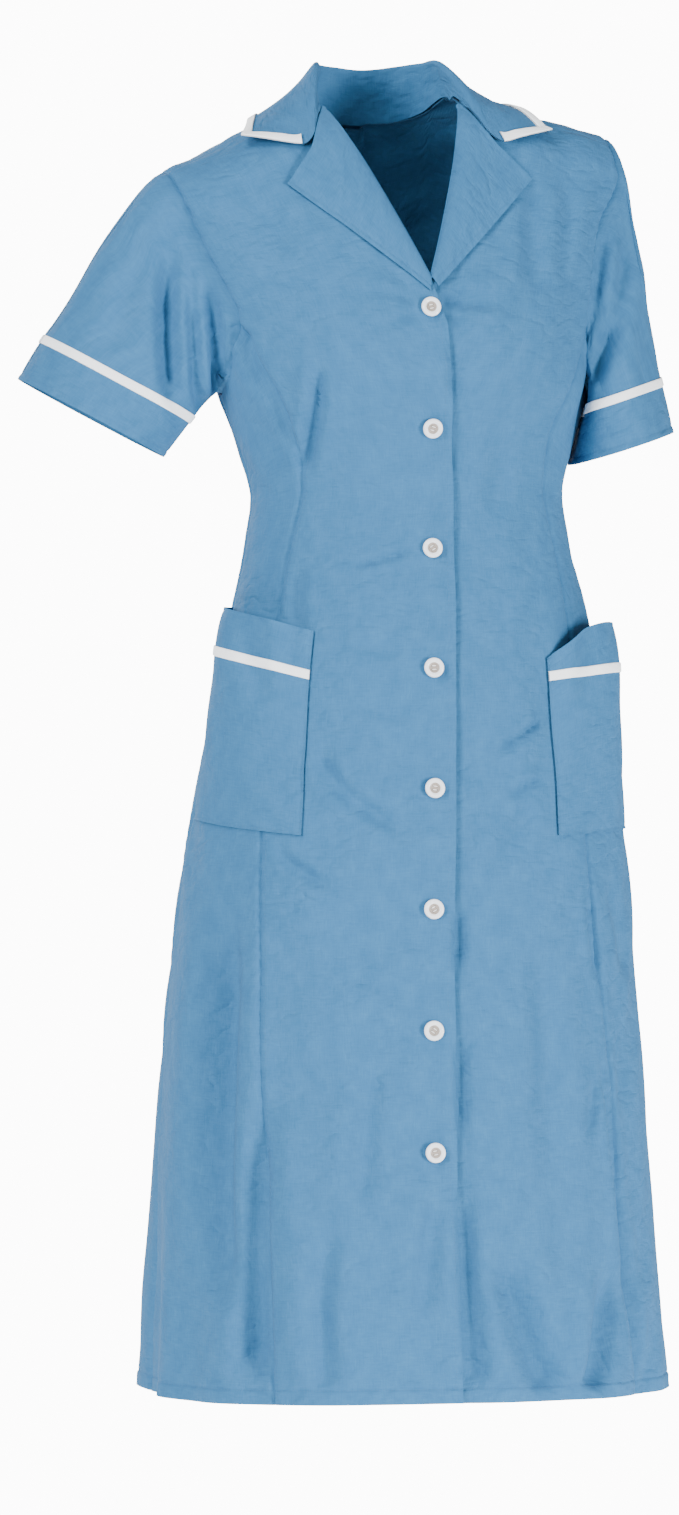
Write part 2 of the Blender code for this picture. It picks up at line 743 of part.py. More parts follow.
def curve_through(points, place):
    """A smooth curve through points, read at a place counted in points; it is level at its start."""
    index = min(int(place), len(points) - 2)
    share = place - index
    mirrored = points[1] * np.array((-1.0, 1.0, 1.0))
    before = points[index - 1] if index else mirrored
    start, end = points[index], points[index + 1]
    after = points[index + 2] if index + 2 < len(points) else 2 * end - start
    start_slope, end_slope = (end - before) / 2, (after - start) / 2
    rise = 3 * share**2 - 2 * share**3
    return (lerp(start, end, rise) + start_slope * (share**3 - 2 * share**2 + share)
            + end_slope * (share**3 - share**2))


def collar_columns():
    """The whole collar, from the wearer's right end to the left end, in the level frame."""
    half = collar_half()
    left = []
    right = []
    for index, column in enumerate(half):
        for hand, columns in ((1, left), (-1, right)):
            made = []
            for i, point in enumerate(column):
                moved = point * np.array((hand, 1.0, 1.0))
                moved[2] += SHOULDER_TILT * moved[0]
                if i > 2 or index > 9:
                    moved = clear_of_shoulder(moved, COLLAR_CLEAR)
                made.append(moved)
            columns.append(made)
    return right[:0:-1] + left


def collar_point(columns, row, place):
    """A point of the collar's under face between its grid's rows and columns."""
    i = min(int(place), len(columns) - 2)
    j = min(int(row), len(columns[0]) - 2)
    start = lerp(columns[i][j], columns[i][j + 1], row - j)
    end = lerp(columns[i + 1][j], columns[i + 1][j + 1], row - j)
    return lerp(start, end, place - i)


def collar_trim_edges(columns):
    """Edge and inset line of the collar's trim: notch, tip, round the back, tip, notch."""
    last_row, last = len(columns[0]) - 1, len(columns) - 1

    def reach(row, place, row_step, place_step):
        """How far in one grid direction the trim's width goes, in rows or columns."""
        here = collar_point(columns, row, place)
        down = collar_point(columns, row + row_step, place) - here
        along = collar_point(columns, row, place + place_step) - here
        slant = np.linalg.norm(np.cross(unit(down), unit(along)))
        return TRIM_WIDTH / slant / np.linalg.norm(down), TRIM_WIDTH / slant / np.linalg.norm(along)

    def end_leg(place, inward):
        corner_rows, corner_columns = reach(last_row, place, -1, inward)
        rows = np.linspace(COLLAR_NOTCH_ROW, last_row - corner_rows - 0.15, 4)
        edge = [(row, place) for row in rows] + [(last_row, place)]
        inset = [(row, place + inward * reach(row, place, -1, inward)[1]) for row in rows]
        inset.append((last_row - corner_rows, place + inward * corner_columns))
        return edge, inset, corner_columns

    start_edge, start_inset, start_corner = end_leg(0, 1)
    finish_edge, finish_inset, finish_corner = end_leg(last, -1)
    places = np.linspace(start_corner + 0.15, last - finish_corner - 0.15, 27)
    edge = start_edge + [(last_row, place) for place in places] + finish_edge[::-1]
    middle = [(last_row - reach(last_row, place, -1, 1 if place < last / 2 else -1)[0], place)
              for place in places]
    inset = start_inset + middle + finish_inset[::-1]
    return ([collar_point(columns, *spot) for spot in edge],
            [collar_point(columns, *spot) for spot in inset])


def make_collar(cloth, trim):
    columns = collar_columns()
    rows = [[to_world(column[r]) for column in columns] for r in range(len(columns[0]))]
    layer("collar", rows[::-1], CLOTH, cloth)
    lift = CLOTH + TRIM_CLEAR
    strip = []
    for line in collar_trim_edges(columns):
        raised = []
        for point in line:
            side = -1 if point[1] < 0 else 1
            direction, _ = outward(point[0], point[1], point[2], side)
            raised.append(to_world(point + direction * lift))
        strip.append(raised)
    layer("collar_trim", strip, TRIM_THICKNESS, trim)


def pocket_point(hand, across_share, height, lift):
    """A point of a pocket's under face; lift moves it further out."""
    inner = math.radians(look_up(POCKET_INNER, 1, height))
    angle = lerp(inner, math.radians(POCKET_OUTER), across_share)
    column = 1 if hand < 0 else 2
    mouth = look_up(POCKET_MOUTH, column, 0.4)
    bottom = look_up(POCKET_BOTTOM, column, 0.4)
    up = min(max((height - bottom) / (mouth - bottom), 0.0), 1.0)
    swell = POCKET_SWELL * math.sin(math.pi * across_share**1.25) ** 0.8 * math.sin(up * math.pi / 2) ** 1.3
    across = section("half_width", height) * math.sin(angle)
    return to_world(on_body(hand * across, height, -1, LAY_ON + swell + lift))


def pocket_rows(hand, lift, lines):
    """Rows of points of a pocket. Each line gives two tables of height and a share between them."""
    column = 1 if hand < 0 else 2
    rows = []
    for lower, upper, share_up in lines:
        row = []
        for j in range(POCKET_COLUMNS + 1):
            share = j / POCKET_COLUMNS
            height = lerp(look_up(lower, column, share), look_up(upper, column, share), share_up)
            row.append(pocket_point(hand, share, height, lift))
        rows.append(row if hand > 0 else row[::-1])
    return rows


def make_pocket(hand, name, cloth, trim):
    shares = [1 - (1 - i / POCKET_ROWS) ** 1.2 for i in range(POCKET_ROWS + 1)]
    lines = [(POCKET_BOTTOM, POCKET_MOUTH, share) for share in shares]
    layer(f"pocket_{name}", pocket_rows(hand, 0.0, lines), CLOTH, cloth)
    lower_edge = [(share, right - TRIM_WIDTH, left - TRIM_WIDTH) for share, right, left in POCKET_TRIM]
    lines = [(lower_edge, POCKET_TRIM, share) for share in (0.0, 1.0)]
    layer(f"pocket_trim_{name}", pocket_rows(hand, CLOTH + TRIM_CLEAR, lines), TRIM_THICKNESS, trim)


def make_buttons(surface):
    profile = bmesh.new()
    points = [profile.verts.new((x, 0.0, z)) for x, z in reversed(BUTTON_PROFILE)]
    for start, end in zip(points[:-1], points[1:]):
        profile.edges.new((start, end))
    mesh = bpy.data.meshes.new("button")
    profile.to_mesh(mesh)
    profile.free()
    mesh.materials.append(surface)
    for index in range(BUTTONS):
        height = FIRST_BUTTON - BUTTON_SPACING * index
        piece = bpy.data.objects.new(f"button_{index + 1}", mesh)
        dress.objects.link(piece)
        under = to_world(on_body(0.0, height, -1, BUTTON_SEAT))
        over = to_world(on_body(0.0, height, -1, 0.004))
        above = to_world(on_body(0.0, height + 0.004, -1))
        facing = unit(over - under)
        side = unit(np.cross(above - under, facing))
        up = np.cross(facing, side)
        turn = Matrix((side, up, facing)).transposed().to_4x4()
        piece.matrix_world = Matrix.Translation(under) @ turn
        screw = piece.modifiers.new("Turned", "SCREW")
        screw.steps = screw.render_steps = BUTTON_STEPS
        screw.use_merge_vertices = True
        screw.merge_threshold = 0.0001


for old in list(bpy.data.objects):
    bpy.data.objects.remove(old, do_unlink=True)

dress = bpy.data.collections.new("nurse_uniform_dress")
bpy.context.scene.collection.children.link(dress)
dress_cloth = material("dress_cloth", (0.185, 0.365, 0.565), 0.85)
white_trim = material("white_trim", (0.90, 0.88, 0.88), 0.80)
button_white = material("button_white", (0.88, 0.87, 0.85), 0.35)

make_body(dress_cloth)
for wearers_hand, hand_name in ((-1, "right"), (1, "left")):
    make_sleeve(wearers_hand, hand_name, dress_cloth, white_trim)
    make_lapel(wearers_hand, hand_name, dress_cloth)
    make_pocket(wearers_hand, hand_name, dress_cloth, white_trim)
make_collar(dress_cloth, white_trim)
make_buttons(button_white)
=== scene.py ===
"""Looks of the nurse uniform dress: its cloth with seams, folds, stitching and buttons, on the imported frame.

Metres, +Z up, the front faces -Y, the wearer's right is -X. The origin is between the shoulders.
Points on the body are worked out in a level frame of their own section, then turned with it.
A hand is -1 for the wearer's right and 1 for the left. A side is -1 for the front and 1 for the back.
"""

import math

import bmesh
import bpy
import numpy as np
from mathutils import Matrix, Vector


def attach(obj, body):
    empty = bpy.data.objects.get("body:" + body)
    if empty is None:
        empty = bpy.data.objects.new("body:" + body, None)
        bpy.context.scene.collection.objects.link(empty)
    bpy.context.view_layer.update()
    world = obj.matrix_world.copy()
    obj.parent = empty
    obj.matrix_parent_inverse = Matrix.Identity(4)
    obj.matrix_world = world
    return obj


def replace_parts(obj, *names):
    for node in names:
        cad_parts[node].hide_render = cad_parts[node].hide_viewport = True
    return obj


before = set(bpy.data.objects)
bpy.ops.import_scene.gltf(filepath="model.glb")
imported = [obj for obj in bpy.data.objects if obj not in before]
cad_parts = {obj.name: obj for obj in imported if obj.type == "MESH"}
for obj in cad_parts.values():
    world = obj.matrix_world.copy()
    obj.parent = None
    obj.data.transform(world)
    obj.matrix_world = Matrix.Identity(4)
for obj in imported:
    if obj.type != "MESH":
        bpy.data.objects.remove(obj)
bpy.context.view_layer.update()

# Cloth and seams
SHEER = 0.0009
HALF_SEAM = 0.00002
BACK_SEAM_LAP = 0.00015
SIDE_SEAM_LAP = 0.0001
LAY_ON = 0.0009
HEM_STITCH = 0.012
EDGE_STITCH = 0.006
SEAM_STITCH = 0.005
INNER_UV_SHIFT = 0.37
# Edges sharper than this are drawn sharp, in degrees
CLOTH_ANGLE = 50
THREAD_ANGLE = 80
HANDS = {"right": -1, "left": 1}

# A seam: depth and width of its groove; height, place and width of the ridge of its allowance; height
# and reach of its puckers, with their wave length and how much and how often it changes
SEAM_FORM = ((-0.0018, 0.0020), (0.00035, 0.006, 0.0045), (0.0004, 0.009, (0.0145, 2.2, 23)))
# A stitched edge: rise of the doubled cloth, how far before the stitches it fades and over what;
# depth and width of the stitches' groove; height of the puckers, their place and width as shares of the
# distance from edge to stitches, and their waves
EDGE_FORM = ((0.00045, 0.0010, 0.0018), (-0.0008, 0.0012), (0.0003, 0.7, 0.6, (0.017, 2.5, 17)))
# How much of that form the edges of small pieces show
CUFF_EDGE = 0.8
LAPEL_EDGE = 0.8
POCKET_EDGE = 0.7
POCKET_MOUTH_EDGE = 0.6

# Sewing thread: length of a stitch, distance from one to the next, half width, height, how far its
# ends sink in and how far its sides go down
STITCH = 0.0024
STITCH_PITCH = 0.0033
STITCH_HALF = 0.00024
STITCH_RISE = 0.00022
STITCH_SINK = 0.0001
STITCH_DEPTH = 0.0002

# Unevenness of worn cloth: how many waves are added up, their shortest and longest length, how much
# they follow each axis, the turn between two of these, and their size on each piece
EASE_WAVES = 18
EASE_LENGTHS = (0.028, 0.085)
EASE_AXES = (1.0, 0.8, 0.45)
EASE_SKEW = 0.6
PANEL_EASE = 0.0010
SLEEVE_EASE = 0.0009
POCKET_EASE = 0.0009
POCKET_TRIM_EASE = 0.0006
COLLAR_EASE = 0.0005

# Body sections, hem to neck: height, centre across, half width, depth to front and back, turn
SECTION_COLUMNS = ("height", "centre", "half_width", "front", "back", "turn")
SECTIONS = (
    (-1.095, 0.0115, 0.2240, 0.182, 0.192, 0.0),
    (-0.943, 0.0096, 0.2137, 0.170, 0.178, 0.0),
    (-0.852, 0.0102, 0.2070, 0.161, 0.168, 0.0),
    (-0.743, 0.0108, 0.1980, 0.150, 0.157, 0.0),
    (-0.663, 0.0128, 0.1905, 0.142, 0.149, 0.0),
    (-0.602, 0.0145, 0.1815, 0.136, 0.143, 0.0),
    (-0.548, 0.0153, 0.1730, 0.130, 0.138, 0.0),
    (-0.481, 0.0160, 0.1610, 0.123, 0.130, 0.0),
    (-0.433, 0.0160, 0.1500, 0.116, 0.119, 0.5),
    (-0.374, 0.0148, 0.1380, 0.106, 0.101, 1.5),
    (-0.339, 0.0145, 0.1335, 0.103, 0.095, 2.0),
    (-0.300, 0.0120, 0.1420, 0.110, 0.096, 2.5),
    (-0.255, 0.0094, 0.1560, 0.121, 0.102, 3.5),
    (-0.200, 0.0060, 0.1680, 0.122, 0.108, 4.0),
    (-0.150, 0.0030, 0.1850, 0.110, 0.110, 4.5),
    (-0.100, 0.0000, 0.2050, 0.091, 0.101, 4.5),
    (-0.060, -0.0030, 0.2200, 0.072, 0.086, 4.5),
    (-0.020, -0.0080, 0.2300, 0.054, 0.066, 4.0),
    (0.040, -0.0110, 0.2300, 0.044, 0.054, 4.0),
)
SQUARENESS = 2.2
FRONT_HEM = -1.088
SIDE_HEM = -1.094

# Shoulders and neck
NECK_HALF = 0.057
SHOULDER_HALF = 0.194
SHOULDER_FALL_RIGHT = 0.420
SHOULDER_FALL_LEFT = 0.268
SHOULDER_TILT = 0.045
SHOULDER_ROUND = 0.038
BACK_NECK_DIP = 0.016
BACK_NECK_ROUND = 0.6

# Armhole edge: height, distance from the middle on the right front, the left front and the back
UNDERARM = -0.255
ARMHOLE = (
    (UNDERARM, 0.1560, 0.1560, 0.1560),
    (-0.245, 0.1535, 0.1530, 0.1555),
    (-0.220, 0.1500, 0.1495, 0.1560),
    (-0.190, 0.1510, 0.1500, 0.1590),
    (-0.160, 0.1630, 0.1555, 0.1645),
    (-0.130, 0.1760, 0.1630, 0.1710),
    (-0.100, 0.1860, 0.1740, 0.1790),
    (-0.084, 0.1905, 0.1850, 0.1865),
    (-0.068, SHOULDER_HALF, SHOULDER_HALF, SHOULDER_HALF),
)

# Princess seams: height, share of the half width on the wearer's right and left
PRINCESS_TOP = -0.200
PRINCESS = (
    (-1.095, 0.600, 0.830),
    (-0.943, 0.640, 0.800),
    (-0.830, 0.675, 0.780),
    (-0.720, 0.705, 0.745),
    (-0.626, 0.745, 0.735),
    (-0.480, 0.800, 0.790),
    (-0.397, 0.815, 0.815),
    (-0.325, 0.770, 0.770),
    (-0.283, 0.760, 0.760),
    (-0.252, 0.810, 0.810),
    (PRINCESS_TOP, 0.8888, 0.8888),
)

# Front edges below the point of the V: height, reach of the right front and of the left front
BREAK_POINT = (0.0025, -0.1645)
FRONT_EDGE = (
    (-1.095, 0.0190, -0.017),
    (-0.700, 0.0180, -0.017),
    (-0.280, 0.0165, -0.017),
    (-0.235, 0.0150, -0.015),
    (-0.195, 0.0110, -0.008),
    (BREAK_POINT[1], BREAK_POINT[0], BREAK_POINT[0]),
)
UNDERLAP = 0.0034
# Where the underlap starts to fade beside the placket and over what, and how soon it fades above the V
UNDERLAP_FADES = (0.022, 0.016)
UNDERLAP_TOP_FADE = 0.020

# Collar and lapels, on the half at +x: across and height
GORGE_ROLL = (0.060, -0.012)
NOTCH = (0.081, -0.049)
COLLAR_TIP = (0.134, -0.039)
LAPEL_TIP = (0.106, -0.080)
LAPEL_NOTCH_GAP = 0.0015
LAPEL_NOTCH_SLANT = 0.3
GORGE_GAP = 0.0008
# Lower end of each lapel, and where its fold starts: the right one ends beside the top button
LAPEL_ENDS = {"right": (-0.0015, -0.1745), "left": (0.0075, -0.1710)}
LAPEL_ROLL_START = (0.0030, -0.1630)
LAPEL_LIFT = 0.0045
LAPEL_TOP_LIFT = 0.0008
LAPEL_STITCH = 0.0045
LAPEL_EASE_FADE = 0.010
# How a lapel stands off: crowding towards its roll, and share of it at its ends
LAPEL_SOFTNESS = (0.6, 0.35)
# Fine grid: the step between its lines, and extra lines at seams and edges
LAPEL_UP = (0.016, (0.0, 0.006, 0.014, 0.985, 0.993, 1.0))
LAPEL_ACROSS = (0.022, (0.0, 0.93, 0.945, 0.96, 0.985, 1.0))
LAPEL_ROLL_POINTS = 7
# Stations from the middle of the back to the shoulder: across of the neck seam, fold and outer edge
COLLAR_STATIONS = (
    (0.000, (0.000, 0.0520, 0.0300), (0.000, 0.0860, -0.0400)),
    (0.028, (0.027, 0.0460, 0.0310), (0.046, 0.0840, -0.0390)),
    (0.048, (0.045, 0.0270, 0.0310), (0.086, 0.0600, -0.0350)),
    (NECK_HALF, (0.054, 0.0000, 0.0280), (0.111, 0.0060, -0.0180)),
)
# Shares of the stand and of the fall where a station has its points
COLLAR_STAND = (0.0, 0.5, 1.0)
COLLAR_FALL = (0.25, 0.5, 0.75, 1.0)
COLLAR_ROWS = len(COLLAR_STAND) + len(COLLAR_FALL) - 1
COLLAR_HALF_COLUMNS = 12
COLLAR_SAG = 0.004
COLLAR_SEAT = 0.0006
COLLAR_CLEAR = 0.0034
COLLAR_TUCK = 0.0035
COLLAR_TUCK_ROWS = 0.6
# Where the collar starts to be kept clear of the shoulder, and over what: in rows, and in columns
COLLAR_CLEAR_ROWS = (2.3, 0.7)
COLLAR_CLEAR_COLUMNS = (9.0, 0.8)
# How the collar swells between the shoulder and the lapel: how far, which way and at what share
COLLAR_ROLL = 0.010
COLLAR_ROLL_WAY = (0.0, -0.4, 0.9)
COLLAR_ROLL_SHARE = 0.55
COLLAR_NOTCH_ROW = 3.05
COLLAR_LIFT = 0.0006
COLLAR_THICK = SHEER + 0.0005
COLLAR_EDGE = 0.003
COLLAR_EDGE_RISE = 0.0004
# Fine grid: the step between its lines, counted in rows and columns of the stations, and extra lines
COLLAR_FINE_ROWS = (0.11, (0.0, 0.03, 0.08, 5.80, 5.86, 5.92, 5.97, 6.0))
COLLAR_FINE_COLUMNS = (0.13, (0.0, 0.05, 0.12, 0.30, 0.38, 23.62, 23.70, 23.88, 23.95, 24.0))

# Trims: width, shares of it at the rows of a strip, and how far each row rises, then lift and thickness
TRIM_WIDTH = 0.008
TRIM_STEPS = (0.0, 0.05, 0.15, 0.5, 0.85, 0.95, 1.0)
CUFF_TRIM_RISE = (-0.0004, 0.0001, 0.0003, 0.0003, 0.0003, 0.0001, -0.0004)
CUFF_TRIM_LIFT = 0.0014
CUFF_TRIM_THICK = 0.0008
POCKET_TRIM_RISE = (-0.0005, 0.0001, 0.0003, 0.0003, 0.0003, 0.0001, -0.0005)
POCKET_TRIM_LIFT = SHEER + 0.0010
POCKET_TRIM_THICK = 0.0010
COLLAR_TRIM_STEPS = (-0.02, 0.03, 0.12, 0.5, 0.88, 0.97, 1.0)
COLLAR_TRIM_RISE = (-0.0006, 0.0, 0.0002, 0.00025, 0.0002, 0.0, -0.0005)
COLLAR_TRIM_LIFT = SHEER + COLLAR_LIFT + 0.0019
COLLAR_TRIM_THICK = 0.0012
COLLAR_TRIM_COLUMNS = 202
COLLAR_TRIM_END_ROWS = 26

# Sleeves: hem centre, half size outward and half size forward, all from the origin
SLEEVES = {
    "right": ((-0.2560, -0.004, -0.2750), (-0.0595, 0.000, 0.0312), (0.006, -0.060, -0.009)),
    "left": ((0.2010, 0.004, -0.2960), (0.0440, 0.000, 0.0145), (-0.006, -0.072, -0.004)),
}
CUFF_DEPTHS = {"right": 0.0395, "left": 0.0445}
CUFF_STITCH = 0.0056
CUFF_EXTRA = 0.0004
CUFF_STEP = 0.0024
CUFF_MARKS = (0.0, 0.0008, 0.0050, CUFF_STITCH, 0.0062)
# A sleeve starts square to its seam for this far, and its curve reaches on from there and from the hem
SLEEVE_START = 0.0025
SEAM_REACH = 0.008
CAP_REACH = 0.024
HEM_REACH_SHARE = 0.45
HEM_REACH_MOST = 0.085
SLEEVE_CLEAR = 0.0045
SLEEVE_CLEAR_FADE = 0.08
# Below this height over the underarm, and over this fade, a sleeve is kept clear of the body
UNDERARM_CLEARING = (0.020, 0.014)
# How often points are moved outward to come clear of the body and of the shoulder
BODY_MOVES = 4
SHOULDER_MOVES = 5
# How far from the seam and from the hem a sleeve's creases and unevenness take to come in
SLEEVE_FOLD_FADE = 0.022
SLEEVE_EASE_FADE = 0.020
SLEEVE_DIP_FADE = 0.001
CUFF_FOLD_START = 0.034
CUFF_FOLD_FADE = 0.030

# Pockets: share across from the princess side to the side seam, height of the right and left mouth
POCKET_MOUTH = ((0.0, -0.4560, -0.478), (0.25, -0.4500, -0.459), (1.0, -0.4345, -0.452))
POCKET_BOTTOM = ((0.0, -0.6250, -0.6255), (1.0, -0.6120, -0.6200))
POCKET_TRIM = ((0.0, -0.4885, -0.4890), (0.25, -0.4820, -0.4865), (1.0, -0.4665, -0.4830))
# Angle round the body of the inner edge at two heights, and of the outer edge
POCKET_INNER = ((-0.626, 35.5), (-0.450, 38.5))
POCKET_OUTER = 86.5
# How far a pocket stands open, and exponents that shape this: two across and one upward
POCKET_SWELL = 0.020
POCKET_SWELL_FORM = (1.25, 0.8, 1.3)
# Share across where the swell reads the heights of mouth and bottom
POCKET_SWELL_SHARE = 0.4
POCKET_STITCH = 0.0022
POCKET_MOUTH_STITCH = 0.0030
POCKET_FOLD_FADE = 0.012
# Fine grid: the step between its lines, and extra lines at stitches and edges
POCKET_ACROSS = (0.016, (0.0, 0.006, 0.014, 0.022, 0.03, 0.97, 0.978, 0.986, 0.994, 1.0))
POCKET_UP = (0.016, (0.0, 0.006, 0.014, 0.022, 0.03, 0.92, 0.93, 0.985, 0.995, 1.0))

# Buttons
BUTTONS = 8
FIRST_BUTTON = -0.188
BUTTON_SPACING = 0.0995
BUTTON_SEAT = 0.00046
# Radius and height of a button's turned form, from the middle of its back to that of its face
BUTTON_FORM = (
    (0.00000, 0.0004), (0.00660, 0.0002), (0.00790, 0.0006), (0.00835, 0.0013), (0.00835, 0.0019),
    (0.00810, 0.0027), (0.00770, 0.00325), (0.00700, 0.0035), (0.00560, 0.00345), (0.00490, 0.0031),
    (0.00440, 0.00235), (0.00380, 0.00195), (0.00280, 0.00180), (0.00000, 0.00175),
)
BUTTON_STEPS = 56
# How far each button is turned, in degrees, and how far above it the point is that it is levelled on
BUTTON_TURNS = (12.0, -20.0, 35.0, 5.0, -8.0, 28.0, -35.0, 15.0)
BUTTON_AIM = 0.004
DISH_RADIUS = 0.0046
DISH_RISE = 0.0015
HOLE_OFFSET = 0.00150
HOLE_RADIUS = 0.00085
HOLE_RISE = 0.00182
HOLE_STEPS = 16
THREAD_RADIUS = 0.0002
THREAD_OFFSET = 0.00018
THREAD_RISE = 0.00190
THREAD_LENGTH = 2 * HOLE_OFFSET + 0.0006
THREAD_STEPS = 8

# Soft flutes of the skirt: angle from the front, width in degrees, height where it starts, depth
FLUTES = (
    (-86.0, 7.0, -0.78, -0.0110),
    (-64.0, 9.0, -0.60, -0.0100),
    (-42.0, 8.0, -0.74, -0.0060),
    (-22.0, 8.0, -0.80, 0.0030),
    (30.0, 9.0, -0.78, -0.0045),
    (57.0, 8.0, -0.66, -0.0080),
    (80.0, 9.0, -0.82, 0.0010),
    (104.0, 9.0, -0.72, -0.0080),
    (128.0, 10.0, -0.66, 0.0070),
    (150.0, 9.0, -0.60, -0.0100),
    (172.0, 9.0, -0.70, 0.0070),
    (-166.0, 8.0, -0.64, -0.0090),
    (-145.0, 9.0, -0.70, 0.0060),
    (-124.0, 9.0, -0.62, -0.0100),
    (-103.0, 9.0, -0.74, 0.0030),
)
# Fullness over the bust: across, height, spread and depth, on both sides
BUST = (0.080, -0.215, 0.052, 0.0065)

# Fine grid of the panels
HEM = SECTIONS[0][0]
HEM_FADES = -0.850
LEVEL_BELOW = -0.370
ROW_STEP = 0.0031
HEM_MARKS = (0.0, 0.0010, 0.0106, 0.0114, 0.0120, 0.0126, 0.0134)
EDGE_MARKS = (0.0, 0.004, 0.009, 0.016)
FIRST_SHARE = 0.030
FRONT_COLUMNS = 56
SIDE_COLUMNS = 34
UPPER_ROWS = 74
UPPER_CROWDING = 1.3
BACK_SHOULDER_COLUMNS = 44
BACK_NECK_COLUMNS = 28
SLEEVE_COLUMNS = 150
SLEEVE_ROWS = 70
SLEEVE_POINTS = 61
SLEEVE_MARKS = (0.0, 0.006, 0.014, 0.024, 0.988, 0.995, 1.0)
# A regular line this close to a mark, in steps, is left out
MARK_CLEARANCE = 0.35
# Distance between the points where the body's slope is measured
SLOPE_STEP = 0.0004

# Where the front is looked at from: degrees round the body, the point looked at, the distance and
# the height of the view there
FACING = -9.0
LOOK_AT = (-0.0424, 0.0067, -0.5606)
LOOK_DISTANCE = 4.4
TO_VIEWER = np.array((math.sin(math.radians(FACING)), -math.cos(math.radians(FACING)), 0.0))
TO_RIGHT = np.array((math.cos(math.radians(FACING)), math.sin(math.radians(FACING)), 0.0))
VIEW_HEIGHT = 1.28775
SENSOR = 24.0

# Floor, and how strongly the world lights the dress and how bright the camera sees it
FLOOR = -1.50
FLOOR_RADIUS = 1.85
FLOOR_STEPS = 96
FLOOR_GLOW = 1.2
WORLD_LIGHT = 0.42
WORLD_SHOWN = 12.0

# Noises of the cloth: scale, detail and stretch
WARP = (900.0, 2.0, (1.0, 0.10, 1.0))
WEFT = (900.0, 2.0, (0.10, 1.0, 1.0))
PATCHES = (70.0, 4.0, (1.0, 0.7, 1.0))
HOLLOWS = (30.0, 2.0, (1.0, 1.7, 1.0))
CRINKLED = (14.0, 1.0, (1.0, 1.0, 1.0))
SOFT = (34.0, 4.0, (1.0, 0.8, 1.0))
# Levels of the noise where the cloth is darkest, middling and lightest
COLOUR_STOPS = (0.34, 0.5, 0.66)
WEAVE_HEIGHT = 0.0004
# Crinkles: how steeply they rise, the level of the noise that fades them, and their soft share
CRINKLE_STEEPNESS = 9.0
CRINKLE_START = 0.1
SOFT_SHARE = 1.6
CLOTH_ROUGHNESS = 0.86
SHEEN_ROUGHNESS = 0.45
CLOTH_SHINE = 0.25
SPECK_SCALE = 260.0
SPECK_DARKER = 0.90

# Creases, placed in pixels of the photo: PHOTO_ORIGIN is the origin's pixel and PIXEL its size.
# Each has its line from start to end and its width in pixels and its depth in mm, then optionally how
# much cloth is pushed up beside it and how long it takes to start and to end. Those of the back are
# guesses, in the same pixels as if seen through the front
PHOTO_ORIGIN = (390, 98)
PIXEL = 0.00085
CREASE_POINTS = 24
# How far cloth may turn away from the viewer and still show creases, and how soon they fade there
CREASE_TURN = (0.05, 0.3)
# The ridges beside a crease: place and width in widths of the crease, share that the left one has
CREASE_RIDGE = (1.9, 1.2, 0.6)
